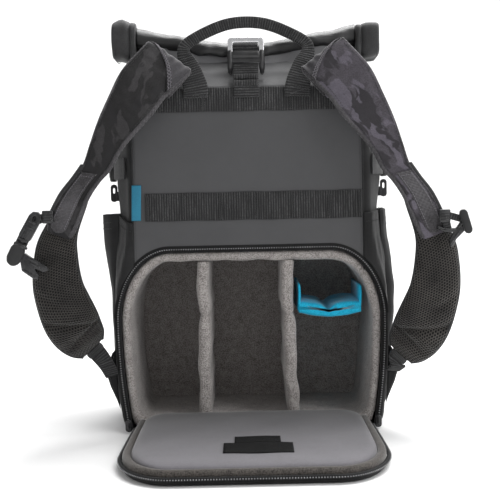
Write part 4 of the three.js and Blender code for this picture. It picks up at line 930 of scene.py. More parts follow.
# The neck of the bag rises into the roll; its cloth gathers a little as it narrows.
NECK_FOOT, NECK_Y = 381.5, -31
neck_rows = []
for t in np.linspace(0, 1, 22):
    ring = []
    for a in np.linspace(0, 2 * math.pi, 160, endpoint=False):
        x = (121 - 6 * t) * math.copysign(abs(math.cos(a)) ** 0.55, math.cos(a))
        drop, tall, _ = roll_at(x)
        top = ROLL_CENTRE - drop * ROLL_SAG - tall * ROLL_TALL * 0.62
        y = NECK_Y + (28 - 9 * t ** 0.7) * math.copysign(abs(math.sin(a)) ** 0.6, math.sin(a))
        ring.append((x, y, NECK_FOOT + t * (top - NECK_FOOT)))
    neck_rows.append(ring)
neck_rows = np.array(neck_rows)
gather = folds(neck_rows * [1, 1, 0.35], 15, 55) + 0.6 * folds(neck_rows, 30, 56)
neck_rows[..., 1] += np.sign(neck_rows[..., 1] - NECK_Y) * gather * 0.9 * np.linspace(0.2, 1, 22)[:, None]
# The neck is the body's coated cloth painted lighter: painted highlight of the top light on its backward
# slope.
neck_cloth_painted_highlight = woven_finish("neck_cloth_painted_highlight", 0x5c5c5e, 0x747476, 0.00045, 0.45, 0.03, 0.05, 0.6, 0.8)
neck = skin("neck_cloth_painted_highlight", neck_rows, neck_cloth_painted_highlight)
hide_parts("bag_shell")

cuff_cloth = woven_finish("cuff_cloth", 0x1c1c1d, 0x424243, 0.0007, 0.65, 0.2, 0.15, 0.4, 3.0)
CUFF_LONG, CUFF_TALL, CUFF_DEEP = 25, 20, 26.5


def cuff(side, sign, seed):
    rows = []
    table = [(0, 0.9), (0.015, 0.96), (0.05, 0.99), (0.12, 1.0), (0.2, 0.99), (0.225, 0.95),
             (0.25, 0.95), (0.28, 1.0), (0.45, 1.02), (0.6, 1.02), (0.75, 1.01), (0.87, 1.0),
             (0.95, 0.98), (0.985, 0.94), (1, 0.88)]
    low, tall = (0, 0.98) if side == "left" else (4.2, 0.88)
    for along, size in table:
        x = sign * (ROLL_HALF + CLEAR + along * CUFF_LONG)
        row = []
        for a in np.linspace(0, 2 * math.pi, 72, endpoint=False):
            cy, cz = math.cos(a), math.sin(a)
            py = math.copysign(abs(cy) ** 0.5, cy)
            pz = math.copysign(abs(cz) ** 0.3, cz)
            peak = (3.4 if side == "left" else 0.6) * max(0, math.sin(math.pi * along)) * max(0, cz) ** 3
            row.append((x, ROLL_Y + size * CUFF_DEEP * py,
                        ROLL_CENTRE - 3 - low + 1.5 * along + size * CUFF_TALL * tall * pz + peak))
        rows.append(row)
    rows = np.array(rows)
    crumple = 0.9 * folds(rows * [1, 0.6, 0.5], 12, seed) + 0.6 * folds(rows, 22, seed + 3)
    rows += np.clip(crumple, -1.8, 1.2)[..., None] * [0.25, 1, 1]
    made = skin(f"roll_cuff_cloth_{side}", rows, cuff_cloth)
    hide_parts(f"roll_cuff_{side}")
    seams = []
    for along in (0.22, 0.9):
        x = sign * (ROLL_HALF + CLEAR + along * CUFF_LONG)
        size = np.interp(along, [t[0] for t in table], [t[1] for t in table])
        seams.append([(x, ROLL_Y + size * CUFF_DEEP * math.copysign(abs(math.cos(a)) ** 0.5, math.cos(a)),
                       ROLL_CENTRE - 2.6 - low + size * CUFF_TALL * tall * math.copysign(
                           abs(math.sin(a)) ** 0.3, math.sin(a)))
                      for a in np.linspace(0, 2 * math.pi, 73)])
    stitches(f"cuff_stitches_{side}", seams, lambda p: (0, p[1] - ROLL_Y, p[2] - ROLL_CENTRE))


cuff("left", -1, 61)
cuff("right", 1, 62)

# Closure: a webbing strap from the front over the roll into a cast hook, which catches a
# moulded keeper on a short webbing sewn under the handle.
CLOSURE_X, CLOSURE_WIDE, WEB = -0.5, 26, 2
HOOK_REAR, HOOK_LOW, HOOK_TOP, HOOK_HALF, HOOK_BAR = -70.5, 392, 413, 19, 5
FLAT_TAPE = [(-1, 0), (-0.99, 0.75), (-0.93, 1), (-0.6, 0.97), (-0.2, 0.95), (0.2, 0.95), (0.6, 0.97),
             (0.93, 1), (0.99, 0.75), (1, 0), (0.99, -0.75), (0.93, -1), (0.4, -0.96), (-0.4, -0.96),
             (-0.93, -1), (-0.99, -0.75)]


def strap_rings(stations, profile, steps):
    """Rings of a strap through rows of (point, across, width, thickness), in millimetres."""
    at = spline([s[0] for s in stations], steps)
    across = spline([s[1] for s in stations], steps)
    across /= np.linalg.norm(across, axis=1, keepdims=True)
    wide = spline([[s[2]] for s in stations], steps)[:, 0]
    thick = spline([[s[3]] for s in stations], steps)[:, 0]
    run = np.gradient(at, axis=0)
    run /= np.linalg.norm(run, axis=1, keepdims=True)
    off = np.cross(across, run)
    off /= np.linalg.norm(off, axis=1, keepdims=True)
    shape = np.asarray(profile, float)
    return (at[:, None] + across[:, None] * (shape[None, :, :1] * wide[:, None, None] / 2)
            + off[:, None] * (shape[None, :, 1:] * thick[:, None, None] / 2)), at, across, off


def tape_strap(name, stations, steps, node, look=None):
    rings = strap_rings(stations, FLAT_TAPE, steps)[0]
    made = skin(name, rings, look or webbing)
    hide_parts(node)
    return made


over = ROLL_CENTRE - ROLL_SAG + ROLL_TALL * 0.7 + CLEAR + WEB / 2 + 0.4
front_run = [(1.055, 0.767), (0.96, 0.875), (0.825, 0.931), (0.4775, 0.985), (0.025, 1.028)]
over_roll = [(0.67, -0.07), (0, 0.04), (-0.67, -0.07), (-1.17, -0.4)]
route = [(DEPTH_HALF * d, BODY_HEIGHT * h) for d, h in front_run]
route += [(ROLL_Y + ROLL_DEEP * d, over + ROLL_TALL * t) for d, t in over_roll]
behind = HOOK_REAR + WEB / 2 + CLEAR + 0.5
route += [(behind, HOOK_TOP - HOOK_BAR - 2), (behind, HOOK_LOW + 2)]
tape_strap("closure_strap", [((CLOSURE_X, y, z), (1, 0, 0), CLOSURE_WIDE, WEB) for y, z in route], 90,
           "closure_web_top")
LEG_FACE = PANEL_FACE - WEB - CLEAR
keeper_top = HOOK_LOW - CLEAR
lower_run = [(LEG_FACE - 1.3, 350), (LEG_FACE - 1.3, 361), (HOOK_REAR - 6, 373),
             (HOOK_REAR - 1.6, keeper_top - 5.8)]
tape_strap("closure_tail", [((CLOSURE_X, y, z), (1, 0, 0), CLOSURE_WIDE, WEB) for y, z in lower_run], 30,
           "closure_web_lower")
# Tail folded back on itself as two puffed layers under the keeper
TAIL_Y = -83.6
for k, (low, high) in enumerate(((361.5, 368), (368.5, 374.5))):
    rings = []
    for x in np.linspace(CLOSURE_X - 12.6, CLOSURE_X + 12.6, 40):
        sag = 0.5 * math.sin(x / 3.1 + k)
        rings.append([(x, TAIL_Y + 1.9 * math.cos(a) + (3.0 if k else 0.0),
                       (low + high) / 2 + sag * 0.4 + (high - low) / 2 * math.sin(a))
                      for a in np.linspace(0, 2 * math.pi, 16, endpoint=False)])
    fold = skin(f"tail_fold_{k + 1}", rings, webbing)
    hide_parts("closure_web_lower")

hook_metal = Finish("hook_metal", 0.28, 0.0, 0.5)
scuff = hook_metal.use(handled, Place=hook_metal.place, Size=130.0)
hook_metal.color(hook_metal.mix(scuff["Mark"], tone(0xf2f2f4), tone(0xd2d2d4)))
hook_metal.roughness(hook_metal.span(scuff["Mark"], 0, 1, 0.16, 0.34))
hook_metal.shader.inputs["Metallic"].default_value = 1.0
hook_metal.bump([(scuff["Height"], 0.15, 0.3), (hook_metal.noise(hook_metal.place, 1500, 2), 0.03, 0.4)])


def moulded(name, node, look, round_mm):
    """Takes a hard part's own solid and rounds its edges as the mould does."""
    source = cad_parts[node].data.copy()
    clean = bmesh.new()
    clean.from_mesh(source)
    bmesh.ops.remove_doubles(clean, verts=clean.verts, dist=1e-5)
    bmesh.ops.dissolve_limit(clean, angle_limit=0.02, verts=clean.verts, edges=clean.edges)
    clean.to_mesh(source)
    clean.free()
    source.materials.clear()
    source.materials.append(look)
    obj = link_mesh(name, source)
    bevel = obj.modifiers.new("edges", "BEVEL")
    bevel.width, bevel.segments, bevel.limit_method = round_mm * MM, 3, "ANGLE"
    bevel.angle_limit = math.radians(28)
    apply_modifiers(obj)
    obj.data.polygons.foreach_set("use_smooth", [True] * len(obj.data.polygons))
    obj.data.set_sharp_from_angle(angle=math.radians(35))
    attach(obj, "root")
    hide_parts(node)
    return obj


moulded("closure_hook_frame", "closure_hook", hook_metal.material, 0.9)
moulded("closure_keeper_bar", "closure_keeper", black_plastic, 0.8)
catch = [((CLOSURE_X + 0.5, HOOK_REAR - 2, HOOK_LOW + 3), (HOOK_HALF + 0.4, 0, 0), (0, 0, 4), (0, 2.1, 0))]
catch += [((side * (HOOK_HALF - 2.4), HOOK_REAR - 2, HOOK_LOW - 4), (2.9, 0, 0), (0, 0, 12), (0, 2.2, 0))
          for side in (-1, 1)]
catch_bar = box_rows("hook_catch", catch, black_plastic)
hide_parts("closure_keeper")

# Carry handle: webbing sewn flat over the upper band at both legs, then folded in half and
# stitched into a firm grip that arches over the hook.
GRIP_Y, SEWN_Y = -DEPTH_HALF + 14, LEG_FACE - 1.4
SLIM = 12 / 26
HANDLE_SPAN, HANDLE_FOOT, HANDLE_RISE, HANDLE_WIDE, HANDLE_THICK = 53, 350, 80, 26, 5.4
handle_table = [
    # out, up, stand, width, thickness: shares of the sizes above, from a sewn leg to the grip's middle
    (1, 0, 0, 1, 0.44), (1.01, 0.16, 0, 1, 0.44), (1.12, 0.42, 0.38, 0.8, 0.52),
    (1.23, 0.62, 0.71, 0.52, 0.8), (1.14, 0.74, 0.88, SLIM, 1), (0.8, 0.87, 1, SLIM, 1),
    (0.4, 0.97, 1, SLIM, 1), (0, 1, 1, SLIM, 1)]
handle_table += [(-row[0],) + row[1:] for row in handle_table[-2::-1]]
handle_points = np.array([(s * HANDLE_SPAN, SEWN_Y + (GRIP_Y - SEWN_Y) * k, HANDLE_FOOT + r * HANDLE_RISE)
                          for s, r, k, _, _ in handle_table])
handle_run = np.gradient(handle_points, axis=0)
handle_across = np.cross(handle_run, (0, -1, 0))
HANDLE_SHAPE = [(-1, 0), (-0.97, 0.7), (-0.85, 1), (-0.5, 1.02), (-0.1, 0.98), (0, 0.9),
                (0.1, 0.98), (0.5, 1.02), (0.85, 1), (0.97, 0.7), (1, 0), (0.97, -0.7), (0.85, -1),
                (0.3, -1), (-0.3, -1), (-0.85, -1), (-0.97, -0.7)]
stations = [(p, a, row[3] * HANDLE_WIDE, row[4] * HANDLE_THICK)
            for p, a, row in zip(handle_points, handle_across, handle_table)]
rings, _, _, _ = strap_rings(stations, HANDLE_SHAPE, 190)
rings = rings + 0.35 * folds(rings, 12, 71)[..., None] * [0, 1, 0.3]
handle = skin("webbing_handle", rings, webbing)
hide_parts("carry_handle")
box_paths = []
for sign in (-1, 1):
    for low, high in ((350.8, 359.5), (352.6, 358)):
        near, far = sign * HANDLE_SPAN - 11.5, sign * HANDLE_SPAN + 11.5
        box_paths.append([(x, SEWN_Y - 1.15, z) for x, z in (
            (near, low), (far, low), (far, high), (near, high), (near, low), (far, high))])
stitches("handle_box_stitches", box_paths, TOWARD_BACK)

# Shoulder straps: a yoke of printed camouflage cloth folded over foam, its inner edge bound, a
# spacer-mesh pad behind it, and an edge rail that the sternum strap slides on.
REACH, FORWARD, YOKE_WIDE = 194, 45, 56
SWING, LIFT = {"left": 8, "right": -6}, {"left": 10, "right": -6}
YOKE_ROWS = [
    # out, height, stand, width, lean in degrees: shares of reach, body height, forward and yoke width
    (0.536, 0.928, 0.096, 0.89, -37), (0.474, 0.965, 0.102, 0.93, -37), (0.411, 1.001, 0.190, 0.95, -37),
    (0.433, 0.988, 0.310, 0.95, -37), (0.538, 0.929, 0.530, 0.909, -34), (0.606, 0.870, 0.670, 0.821, -26),
    (0.672, 0.816, 0.760, 0.686, -20), (0.731, 0.760, 0.820, 0.545, -12), (0.775, 0.710, 0.840, 0.475, -10),
    (0.827, 0.676, 0.850, 0.430, -9), (0.889, 0.632, 0.855, 0.460, -10), (0.953, 0.565, 0.855, 0.500, -18),
    (0.977, 0.529, 0.855, 0.400, -20)]
PAD_ROWS = [
    # out, height, stand, width, lean in degrees, thickness: shares as for the yoke
    (0.887, 0.639, 0.700, 0.430, 4, 0.7), (0.914, 0.607, 0.675, 0.520, 6, 0.9),
    (0.986, 0.526, 0.662, 0.666, 5, 1), (1.000, 0.466, 0.650, 0.768, 1, 1),
    (0.993, 0.402, 0.650, 0.875, 3, 1), (0.969, 0.353, 0.610, 0.950, 12, 1),
    (0.932, 0.298, 0.500, 1.000, 22, 1), (0.897, 0.259, 0.340, 0.936, 32, 0.9),
    (0.857, 0.231, 0.220, 0.770, 38, 0.75), (0.829, 0.215, 0.150, 0.500, 43, 0.5)]


def camouflage_finish(side, shades):
    """Printed packcloth: drawn-out patches, close to one another in tone."""
    f = Finish(f"camouflage_cloth_painted_side_light_{side}", 0.75, 0.3, 0.3)
    warp = f.node("TexNoise")
    f.feed(warp.inputs["Vector"], f.cloth)
    warp.inputs["Scale"].default_value = 40
    shift = f.node("VectorMath", operation="SCALE")
    f.feed(shift.inputs[0], warp.outputs["Color"])
    shift.inputs["Scale"].default_value = 0.022
    drawn = f.node("VectorMath", operation="ADD")
    f.feed(drawn.inputs[0], f.cloth)
    f.feed(drawn.inputs[1], shift.outputs[0])
    dark = f.span(f.noise(drawn.outputs[0], 30, 2.5, 0.55, (1.7, 0.8, 1)), 0.49, 0.53)
    pale = f.span(f.noise(drawn.outputs[0], 52, 2.5, 0.55, (1.5, 0.6, 1)), 0.53, 0.57)
    w = f.use(weave, Place=f.cloth, Thread=0.0006)
    h = f.use(handled, Place=f.place, Size=45.0)
    deep, plain, print_low, print_high = shades
    base = f.mix(w["Yarn"], tone(deep), tone(plain))
    shaded = f.mix(f.math("MULTIPLY", dark, 0.7), base, tone(0x1f1e20))
    printed = f.mix(w["Yarn"], tone(print_low), tone(print_high))
    f.color(f.mix(f.math("MULTIPLY", pale, 0.75), shaded, printed))
    f.roughness(f.span(pale, 0, 1, 0.78, 0.6))
    f.bump([(h["Height"], 1.3, 0.5), (w["Height"], 0.09, 0.5)])
    return f.material


# One printed cloth in two copies: the right yoke's shades are painted lighter as painted light from the
# right, the left's darker as painted shade.
camouflage = {"left": camouflage_finish("left", (0x121112, 0x242324, 0x222122, 0x3d3b3d)),
              "right": camouflage_finish("right", (0x353236, 0x524e55, 0x4f4b54, 0x6c6772))}


def mesh_finish():
    """Open spacer mesh: rows of round holes in a knitted face, painted near black as painted shade in their
    depth.
    """
    f = Finish("spacer_mesh", 0.92, 0.3, 0.2)
    parts = f.node("SeparateXYZ")
    f.feed(parts.inputs[0], f.cloth)
    pitch = 2 * math.pi / 0.0026
    lean = f.math("MULTIPLY", parts.outputs[0], 0.25)
    slant = f.math("MULTIPLY", parts.outputs[1], -0.25)
    u = f.math("MULTIPLY", f.math("ADD", parts.outputs[0], slant), pitch)
    v = f.math("MULTIPLY", f.math("ADD", parts.outputs[1], lean), pitch)
    waves = [f.math("COSINE", u)]
    for side in (0.866, -0.866):
        waves.append(f.math("COSINE", f.math("ADD", f.math("MULTIPLY", u, 0.5), f.math("MULTIPLY", v, side))))
    lattice = f.math("ADD", f.math("ADD", waves[0], waves[1]), waves[2])
    hole = f.span(lattice, -0.7, 0.6)
    h = f.use(handled, Place=f.place, Size=30.0)
    knit = f.mix(h["Mark"], tone(0x2e2c2b), tone(0x4a4744))
    # Painted shade: the holes are coloured near black for the shade inside them.
    f.color(f.mix(hole, knit, tone(0x060606)))
    f.bump([(h["Height"], 0.9, 0.3), (f.math("SUBTRACT", 1.0, hole), 0.9, 0.8)])
    return f.material


spacer_mesh = mesh_finish()
binding = woven_finish("edge_binding", 0x232324, 0x353536, 0.0009, 0.7, 0.2, 0.2)
worn_cloth = woven_finish("worn_cloth", 0x171617, 0x464448, 0.0007, 0.7, 0.2, 0.35, 0.3, 2.4)
knit_binding = woven_finish("knit_binding", 0x161516, 0x5a585b, 0.0024, 0.75, 0.7, 0.2)
dark_thread = woven_finish("dark_thread", 0x141415, 0x242425, 0.0003, 0.6, 0.05)
pale_thread = woven_finish("pale_thread", 0x5b585c, 0x77747a, 0.0003, 0.6, 0.05)


def strap_station(row, sign, side, thick):
    x, height, out_share, wide, lean = row[:5]
    easing = 1 - min(1, height)
    lean = math.radians(lean)
    place = (sign * (x * REACH + SWING[side] * easing), -DEPTH_HALF - out_share * FORWARD,
             height * BODY_HEIGHT + LIFT[side] * easing)
    return place, (-sign * math.cos(lean), 0, math.sin(lean)), wide * YOKE_WIDE, thick


def pad_shape(count, flat=0.75):
    """Closed cross section of a soft pad, evenly turned, with pinched edges."""
    shape = []
    for a in np.linspace(0, 2 * math.pi, count, endpoint=False):
        cx, cy = math.cos(a), math.sin(a)
        shape.append((math.copysign(abs(cx) ** 0.8, cx), math.copysign(abs(cy) ** flat, cy)))
    return shape


def edge_tube(name, centre, radius, look, sides=12, flat=1.0):
    """Piping along a path of points, round or flattened toward the panel by a share."""
    centre = np.asarray(centre, float)
    run = np.gradient(centre, axis=0)
    run /= np.linalg.norm(run, axis=1, keepdims=True)
    up = np.cross(run, (0, 1, 0))
    up /= np.maximum(np.linalg.norm(up, axis=1, keepdims=True), 1e-6)
    side = np.cross(run, up) * flat
    turn = np.linspace(0, 2 * math.pi, sides, endpoint=False)
    rings = (centre[:, None] + up[:, None] * (np.cos(turn)[None, :, None] * radius)
             + side[:, None] * (np.sin(turn)[None, :, None] * radius))
    return skin(name, rings, look)


def pad_front(off):
    """Which way off the pad faces the viewer's side of the harness."""
    return -1 if off[len(off) // 2][1] > 0 else 1


def shoulder_strap(side, sign, seed):
    yoke = [strap_station(row, sign, side, 3 if i < 2 else 4.2) for i, row in enumerate(YOKE_ROWS)]
    rings, at, across, off = strap_rings(yoke, pad_shape(48, 0.45), 170)
    share = np.linspace(0, 1, len(rings))[:, None]
    edge = np.abs(np.array([p[0] for p in pad_shape(48, 0.45)]))[None, :]
    wave = folds(rings * [1, 1, 0.8], 30, seed) + 0.5 * folds(rings, 13, seed + 1)
    soft = np.clip(share / 0.2, 0.2, 1) * (1 - 0.6 * edge ** 6)
    rings = rings + off[:, None] * (wave * 0.55 * soft)[..., None]
    made = skin(f"yoke_{side}", rings, camouflage[side])
    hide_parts(f"strap_yoke_{side}")
    front = -1 if off[100][1] > 0 else 1
    half = spline([[s[2] / 2] for s in yoke], 170)
    for label, edge_side, radius in (("inner", 1, 2.3), ("outer", -1, 1.4)):
        path = at + across * (half * edge_side * 0.965)
        tube = edge_tube(f"yoke_{label}_binding_{side}", path[4:-3], radius, knit_binding,
                         flat=0.95)
        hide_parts(f"strap_yoke_{side}")
    near_edge = [(at + across * (half * w) + off * front * 2.1)[40:-14] for w in (0.8, -0.88)]
    stitches(f"yoke_stitches_{side}", near_edge, off[100] * front, pitch=3.0, long=2.0,
             wide=0.22, look=dark_thread)

    # The sewn end's cloth shows as a wedge along the fold, held by zigzag rows
    def on_yoke(k, w, lift):
        low = int(k)
        t = k - low
        place = at[low] * (1 - t) + at[low + 1] * t + (across[low] * half[low] * w)
        return place + off[low] * front * (2.0 + lift)

    def wedge_end(w):
        return 29.5 + (12.5 if side == "left" else 9.5) * (w + 1)

    fold_start = 26.5
    wedge = []
    for u in np.linspace(0, 1, 26):
        row = []
        for w in np.linspace(-0.96, 0.96, 60):
            pucker = 0.8 * math.sin(w * 17 + 2.5 * u + seed) * math.sin(math.pi * u) * (1 + w) / 2
            pucker += 0.5 * math.sin(w * 9 - 3 * u) * math.sin(math.pi * u)
            row.append(on_yoke(fold_start + u * (wedge_end(w) - fold_start), w, 0.95 + pucker))
        wedge.append(row)
    root_patch = skin(f"fold_wedge_{side}", wedge, worn_cloth, closed=False, caps=False)
    thickened(root_patch, 0.7)
    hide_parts(f"strap_yoke_{side}")
    zigzag = []
    for near, far in ((0.3, 1.1), (1.6, 2.4)):
        zigzag.append([on_yoke(wedge_end(w) - (near if j % 2 else far), w, 1.5)
                       for j, w in enumerate(np.linspace(-0.9, 0.92, 38))])
    zigzag.append([on_yoke(28.5 + (0.7 if j % 2 else 0), w, 1.6)
                   for j, w in enumerate(np.linspace(-0.9, 0.9, 30))])
    stitches(f"fold_stitches_{side}", zigzag, off[33] * front, pitch=1.6, long=1.5,
             look=pale_thread)

    # Knitted tab sewn on the narrow foot, rounded below, that takes the edge rail's end
    tab_rows = []
    for k in range(120, 166):
        left = (165 - k) / 46
        round_off = math.sqrt(max(0.03, 1 - max(0, 1 - left / 0.16) ** 2))
        width = 0.62 * half[k] * round_off
        ring = [at[k] + across[k] * (width * w - half[k] * 0.18) + off[k] * front * (1.7 + h)
                for w, h in ((-1, 0), (-0.98, 1.1), (-0.8, 1.5), (0, 1.6), (0.8, 1.5), (0.98, 1.1), (1, 0),
                             (0, -0.2))]
        tab_rows.append(ring)
    tab = skin(f"rail_tab_{side}", tab_rows, knit_binding)
    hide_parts(f"strap_yoke_{side}")
    tab_stitches = [[r[2] + off[120] * front * 0.1 for r in tab_rows[2:-6]],
                    [r[4] + off[120] * front * 0.1 for r in tab_rows[2:-6]],
                    [tab_rows[4][2] + (tab_rows[4][4] - tab_rows[4][2]) * t for t in np.linspace(0, 1, 8)]]
    stitches(f"tab_stitches_{side}", tab_stitches, off[140] * front, pitch=2.4, long=1.6,
             look=pale_thread)

    pads = [strap_station(row, sign, side, 12 * row[5]) for row in PAD_ROWS]
    shape = pad_shape(60, 0.7)
    rings, at, across, off = strap_rings(pads, shape, 110)
    wave = folds(rings, 34, seed + 5)
    share = np.linspace(0, 1, len(rings))[:, None]
    place = np.array([p[0] for p in shape])[None, :]
    face = np.array([max(0.0, p[1] * pad_front(off)) for p in shape])[None, :]
    crease = (4.2 * np.exp(-((share - 0.70 - 0.07 * place) / 0.016) ** 2) * np.clip(1.2 - place, 0, 1)
              + 2.6 * np.exp(-((share - 0.80 + 0.05 * place) / 0.014) ** 2) * np.clip(0.9 + place, 0, 1)
              + 1.6 * np.exp(-((share - 0.60 - 0.12 * place) / 0.02) ** 2) * np.clip(0.5 - place, 0, 1))
    swell = 1.3 * np.exp(-((share - 0.755) / 0.035) ** 2) + 1.2 * np.exp(-((share - 0.87) / 0.04) ** 2)
    rings = rings + off[:, None] * (wave * 0.5 + pad_front(off) * (swell - crease) * face)[..., None]
    made = skin(f"mesh_pad_{side}", rings, spacer_mesh)
    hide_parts(f"strap_pad_{side}")
    half = spline([[s[2] / 2] for s in pads], 110)
    for label, edge_side in (("inner", 1), ("outer", -1)):
        path = at + across * (half * edge_side * 0.97)
        tube = edge_tube(f"pad_{label}_binding_{side}", path, 2.0, binding)
        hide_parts(f"strap_pad_{side}")
    return yoke, pads[-1]


strap_ends = {side: shoulder_strap(side, sign, seed)
              for side, sign, seed in (("left", -1, 81), ("right", 1, 91))}

# Sternum strap, undone: a rail along each yoke's outer edge carries a moulded slider. The left
# half holds the clip's loop and a rolled tail of webbing, the right one its short pronged clip.
gloss_plastic = plastic_finish("polished_acetal", 0x202021, 0.26, 0x2e2e30)


def sternum(side, sign):
    yoke = strap_ends[side][0]
    rail = []
    for i, row in enumerate(yoke[8:12]):
        at, across, wide, _ = row
        stand = wide / 2 + (1.4 if i in (0, 3) else 2.2)
        rail.append((np.array(at) - np.array(across) * stand, across, 3.6, 3))
    rings = strap_rings(rail, pad_shape(16, 0.8), 40)[0]
    made = skin(f"edge_rail_{side}", rings, binding)
    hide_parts(f"strap_rail_{side}")
    moulded(f"rail_slider_{side}", f"sternum_slider_{side}", gloss_plastic, 1.3)
    moulded(f"pronged_clip_{side}", f"sternum_clip_{side}", gloss_plastic, 1.5)
    moulded(f"rolled_tail_{side}", f"sternum_web_{side}", webbing, 2.6)
    end_at, _, end_wide, _ = yoke[11]
    anchor = np.array(end_at) - np.array(yoke[11][1]) * (end_wide / 2 + 2.4)
    face = end_at[1] - 2.3
    if side == "left":
        moulded("clip_loop", "sternum_loop_left", gloss_plastic, 1.5)
        joins = [("a", "sternum_loop_left", (0, 0.5), (15, -4), 9),
                 ("b", "sternum_web_left", (23, -20), (31, -35), 12)]
    else:
        joins = [("a", "sternum_clip_right", (-1, -2), (2, -15), 8),
                 ("b", "sternum_clip_right", (2, 1), (19, -4), 7)]
    for label, node, start, stop, wide in joins:
        ends = [np.array([anchor[0] + sign * out, face - 3.2, anchor[2] + up]) for out, up in (start, stop)]
        way = (ends[1] - ends[0]) / np.linalg.norm(ends[1] - ends[0])
        run = [(end, np.cross(way, (0, 1, 0)), wide, 2) for end in ends]
        tape_strap(f"sternum_tape_{side}_{label}", run, 8, node)
    return anchor, face


def plate_box(anchor, sign, face, out, up, long, wide, tall, turn):
    """Small raised box on a clip, drawn outward and up from the anchor and turned in its plane."""
    turn = math.radians(turn)
    way = np.array([sign * math.cos(turn), 0, math.sin(turn)])
    across = np.array([-sign * math.sin(turn), 0, math.cos(turn)])
    return (np.array([anchor[0] + sign * out, face, anchor[2] + up]), way * long / 2, across * wide / 2,
            np.array([0, -tall / 2, 0]))


CLIP_BOXES = {
    # out, up, long, wide, tall, turn: ribs and rims moulded on the clips, nearest the anchor first
    "left": [(13.5, -4.5, 9, 2, 1.6, 30), (16, -10.5, 2.2, 12, 1.2, -60), (19.5, -15.5, 12, 1.8, 1.4, -60),
             (24.5, -15, 12, 1.8, 1.4, -60), (23.5, -22, 11.5, 2.2, 1.8, 30), (26, -27.5, 14.5, 3.4, 3.4, 28),
             (14.5, -43.5, 15, 1.4, 1.6, 32), (12, -48, 13, 1.4, 1.6, 28), (18.5, -55.5, 13, 1.4, 1.6, 34)],
    "right": [(4, -13.4, 14, 1.5, 1.6, 0), (8.5, -21, 13, 1.6, 1.8, 55), (6, -24, 12, 1.2, 1.4, 60),
              (14, -9, 9, 1.6, 1.6, 45)]}
for side, sign in (("left", -1), ("right", 1)):
    anchor, face = sternum(side, sign)
    spots = [plate_box(anchor, sign, face - 6.2, *row) for row in CLIP_BOXES[side]]
    ridges = box_rows(f"clip_ridges_{side}", spots, gloss_plastic)
    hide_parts(f"sternum_clip_{side}")
    ribs_at = [plate_box(anchor, sign, face - 4.7, -1.3, up, 9, 1.2, 0.9, 0) for up in (-3.5, -1, 1.5, 4)]
    grip = box_rows(f"slider_ribs_{side}", ribs_at, gloss_plastic)
    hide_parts(f"sternum_slider_{side}")

# Strap feet: webbing from a ladder lock under each pad down to a doubled cloth wing that is
# caught in the bag's side seam.
WING_TOP, WING_TALL, WING_Y = 0.225 * BODY_HEIGHT, 0.164 * BODY_HEIGHT, -DEPTH_HALF + 4.4
STRAP_WEB = 16


def strap_foot(side, sign):
    end_at, end_across, _, _ = (np.array(v, float) for v in strap_ends[side][1])
    down = np.array([-sign * end_across[2], 0, sign * end_across[0]])
    lock_to = end_at + down * 7
    start = lock_to + down * 1.1
    edge = max(body_share(1, WING_TOP), body_share(2, WING_TOP)) * BODY_HALF + CLEAR
    root = np.array([sign * (edge + STRAP_WEB / 2 + CLEAR), WING_Y - CLEAR - 1, WING_TOP - WING_TALL / 2])
    run = (root - start) * [1, 0, 1]
    run /= np.linalg.norm(run)
    root_across = np.array([-abs(run[2]) * sign, 0, abs(run[0])])
    bow = np.array([root[0], PANEL_FACE - 2.5 - CLEAR - 2, (start[2] + root[2]) / 2 + 2])
    sewn = root + np.array([-sign * 5, -1.6, 5])
    stations = [(end_at - down * 14, end_across, 19, 3.4), (start, end_across, 18, 3.4),
                (bow, root_across, STRAP_WEB, 3), (sewn, root_across, STRAP_WEB - 1, 3)]
    tape_strap(f"foot_webbing_{side}", stations, 36, f"strap_web_{side}")
    moulded(f"ladder_lock_{side}", f"strap_lock_{side}", black_plastic, 1.2)
    bars = [(end_at + down * d + np.array([0, -3.2, 0]), end_across * 8.6, down * 0.7, np.array([0, -0.8, 0]))
            for d in (2.2, 4.2, 6.2)]
    rungs = box_rows(f"lock_rungs_{side}", bars, black_plastic)
    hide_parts(f"strap_lock_{side}")
    moulded(f"foot_wing_{side}", f"strap_wing_{side}", gusset, 1.4)
    outline = []
    for out, up in ((0.1, 0.16), (0.6, 0.4), (0.8, 0.56), (0.62, 0.74), (0.2, 0.9)):
        z = WING_TOP - WING_TALL + up * WING_TALL
        flank = max(body_share(1, z), body_share(2, z)) * BODY_HALF
        outline.append((sign * (flank + out * 11), WING_Y - 0.1, z))
    stitches(f"wing_stitches_{side}", [outline], TOWARD_BACK)


strap_foot("left", -1)
strap_foot("right", 1)

# Side pockets: open-topped packcloth pouches with a turned hem and an upright pleat, sewn to
# the bag's flanks and slack at the mouth.
POCKET_LOW, POCKET_MOUTH, POCKET_REAR, POCKET_FRONT, POCKET_DEEP = 22, 232, -58, 50, 20
POCKET_ROWS = {
    # share of the height, share of the depth
    "left": [(0, 0.2), (0.09, 0.36), (0.35, 0.34), (0.61, 0.42), (0.74, 0.66), (0.85, 0.84), (1, 0.98)],
    "right": [(0, 0.2), (0.09, 0.38), (0.35, 0.5), (0.61, 0.62), (0.74, 0.55), (0.85, 0.42), (1, 0.42)]}


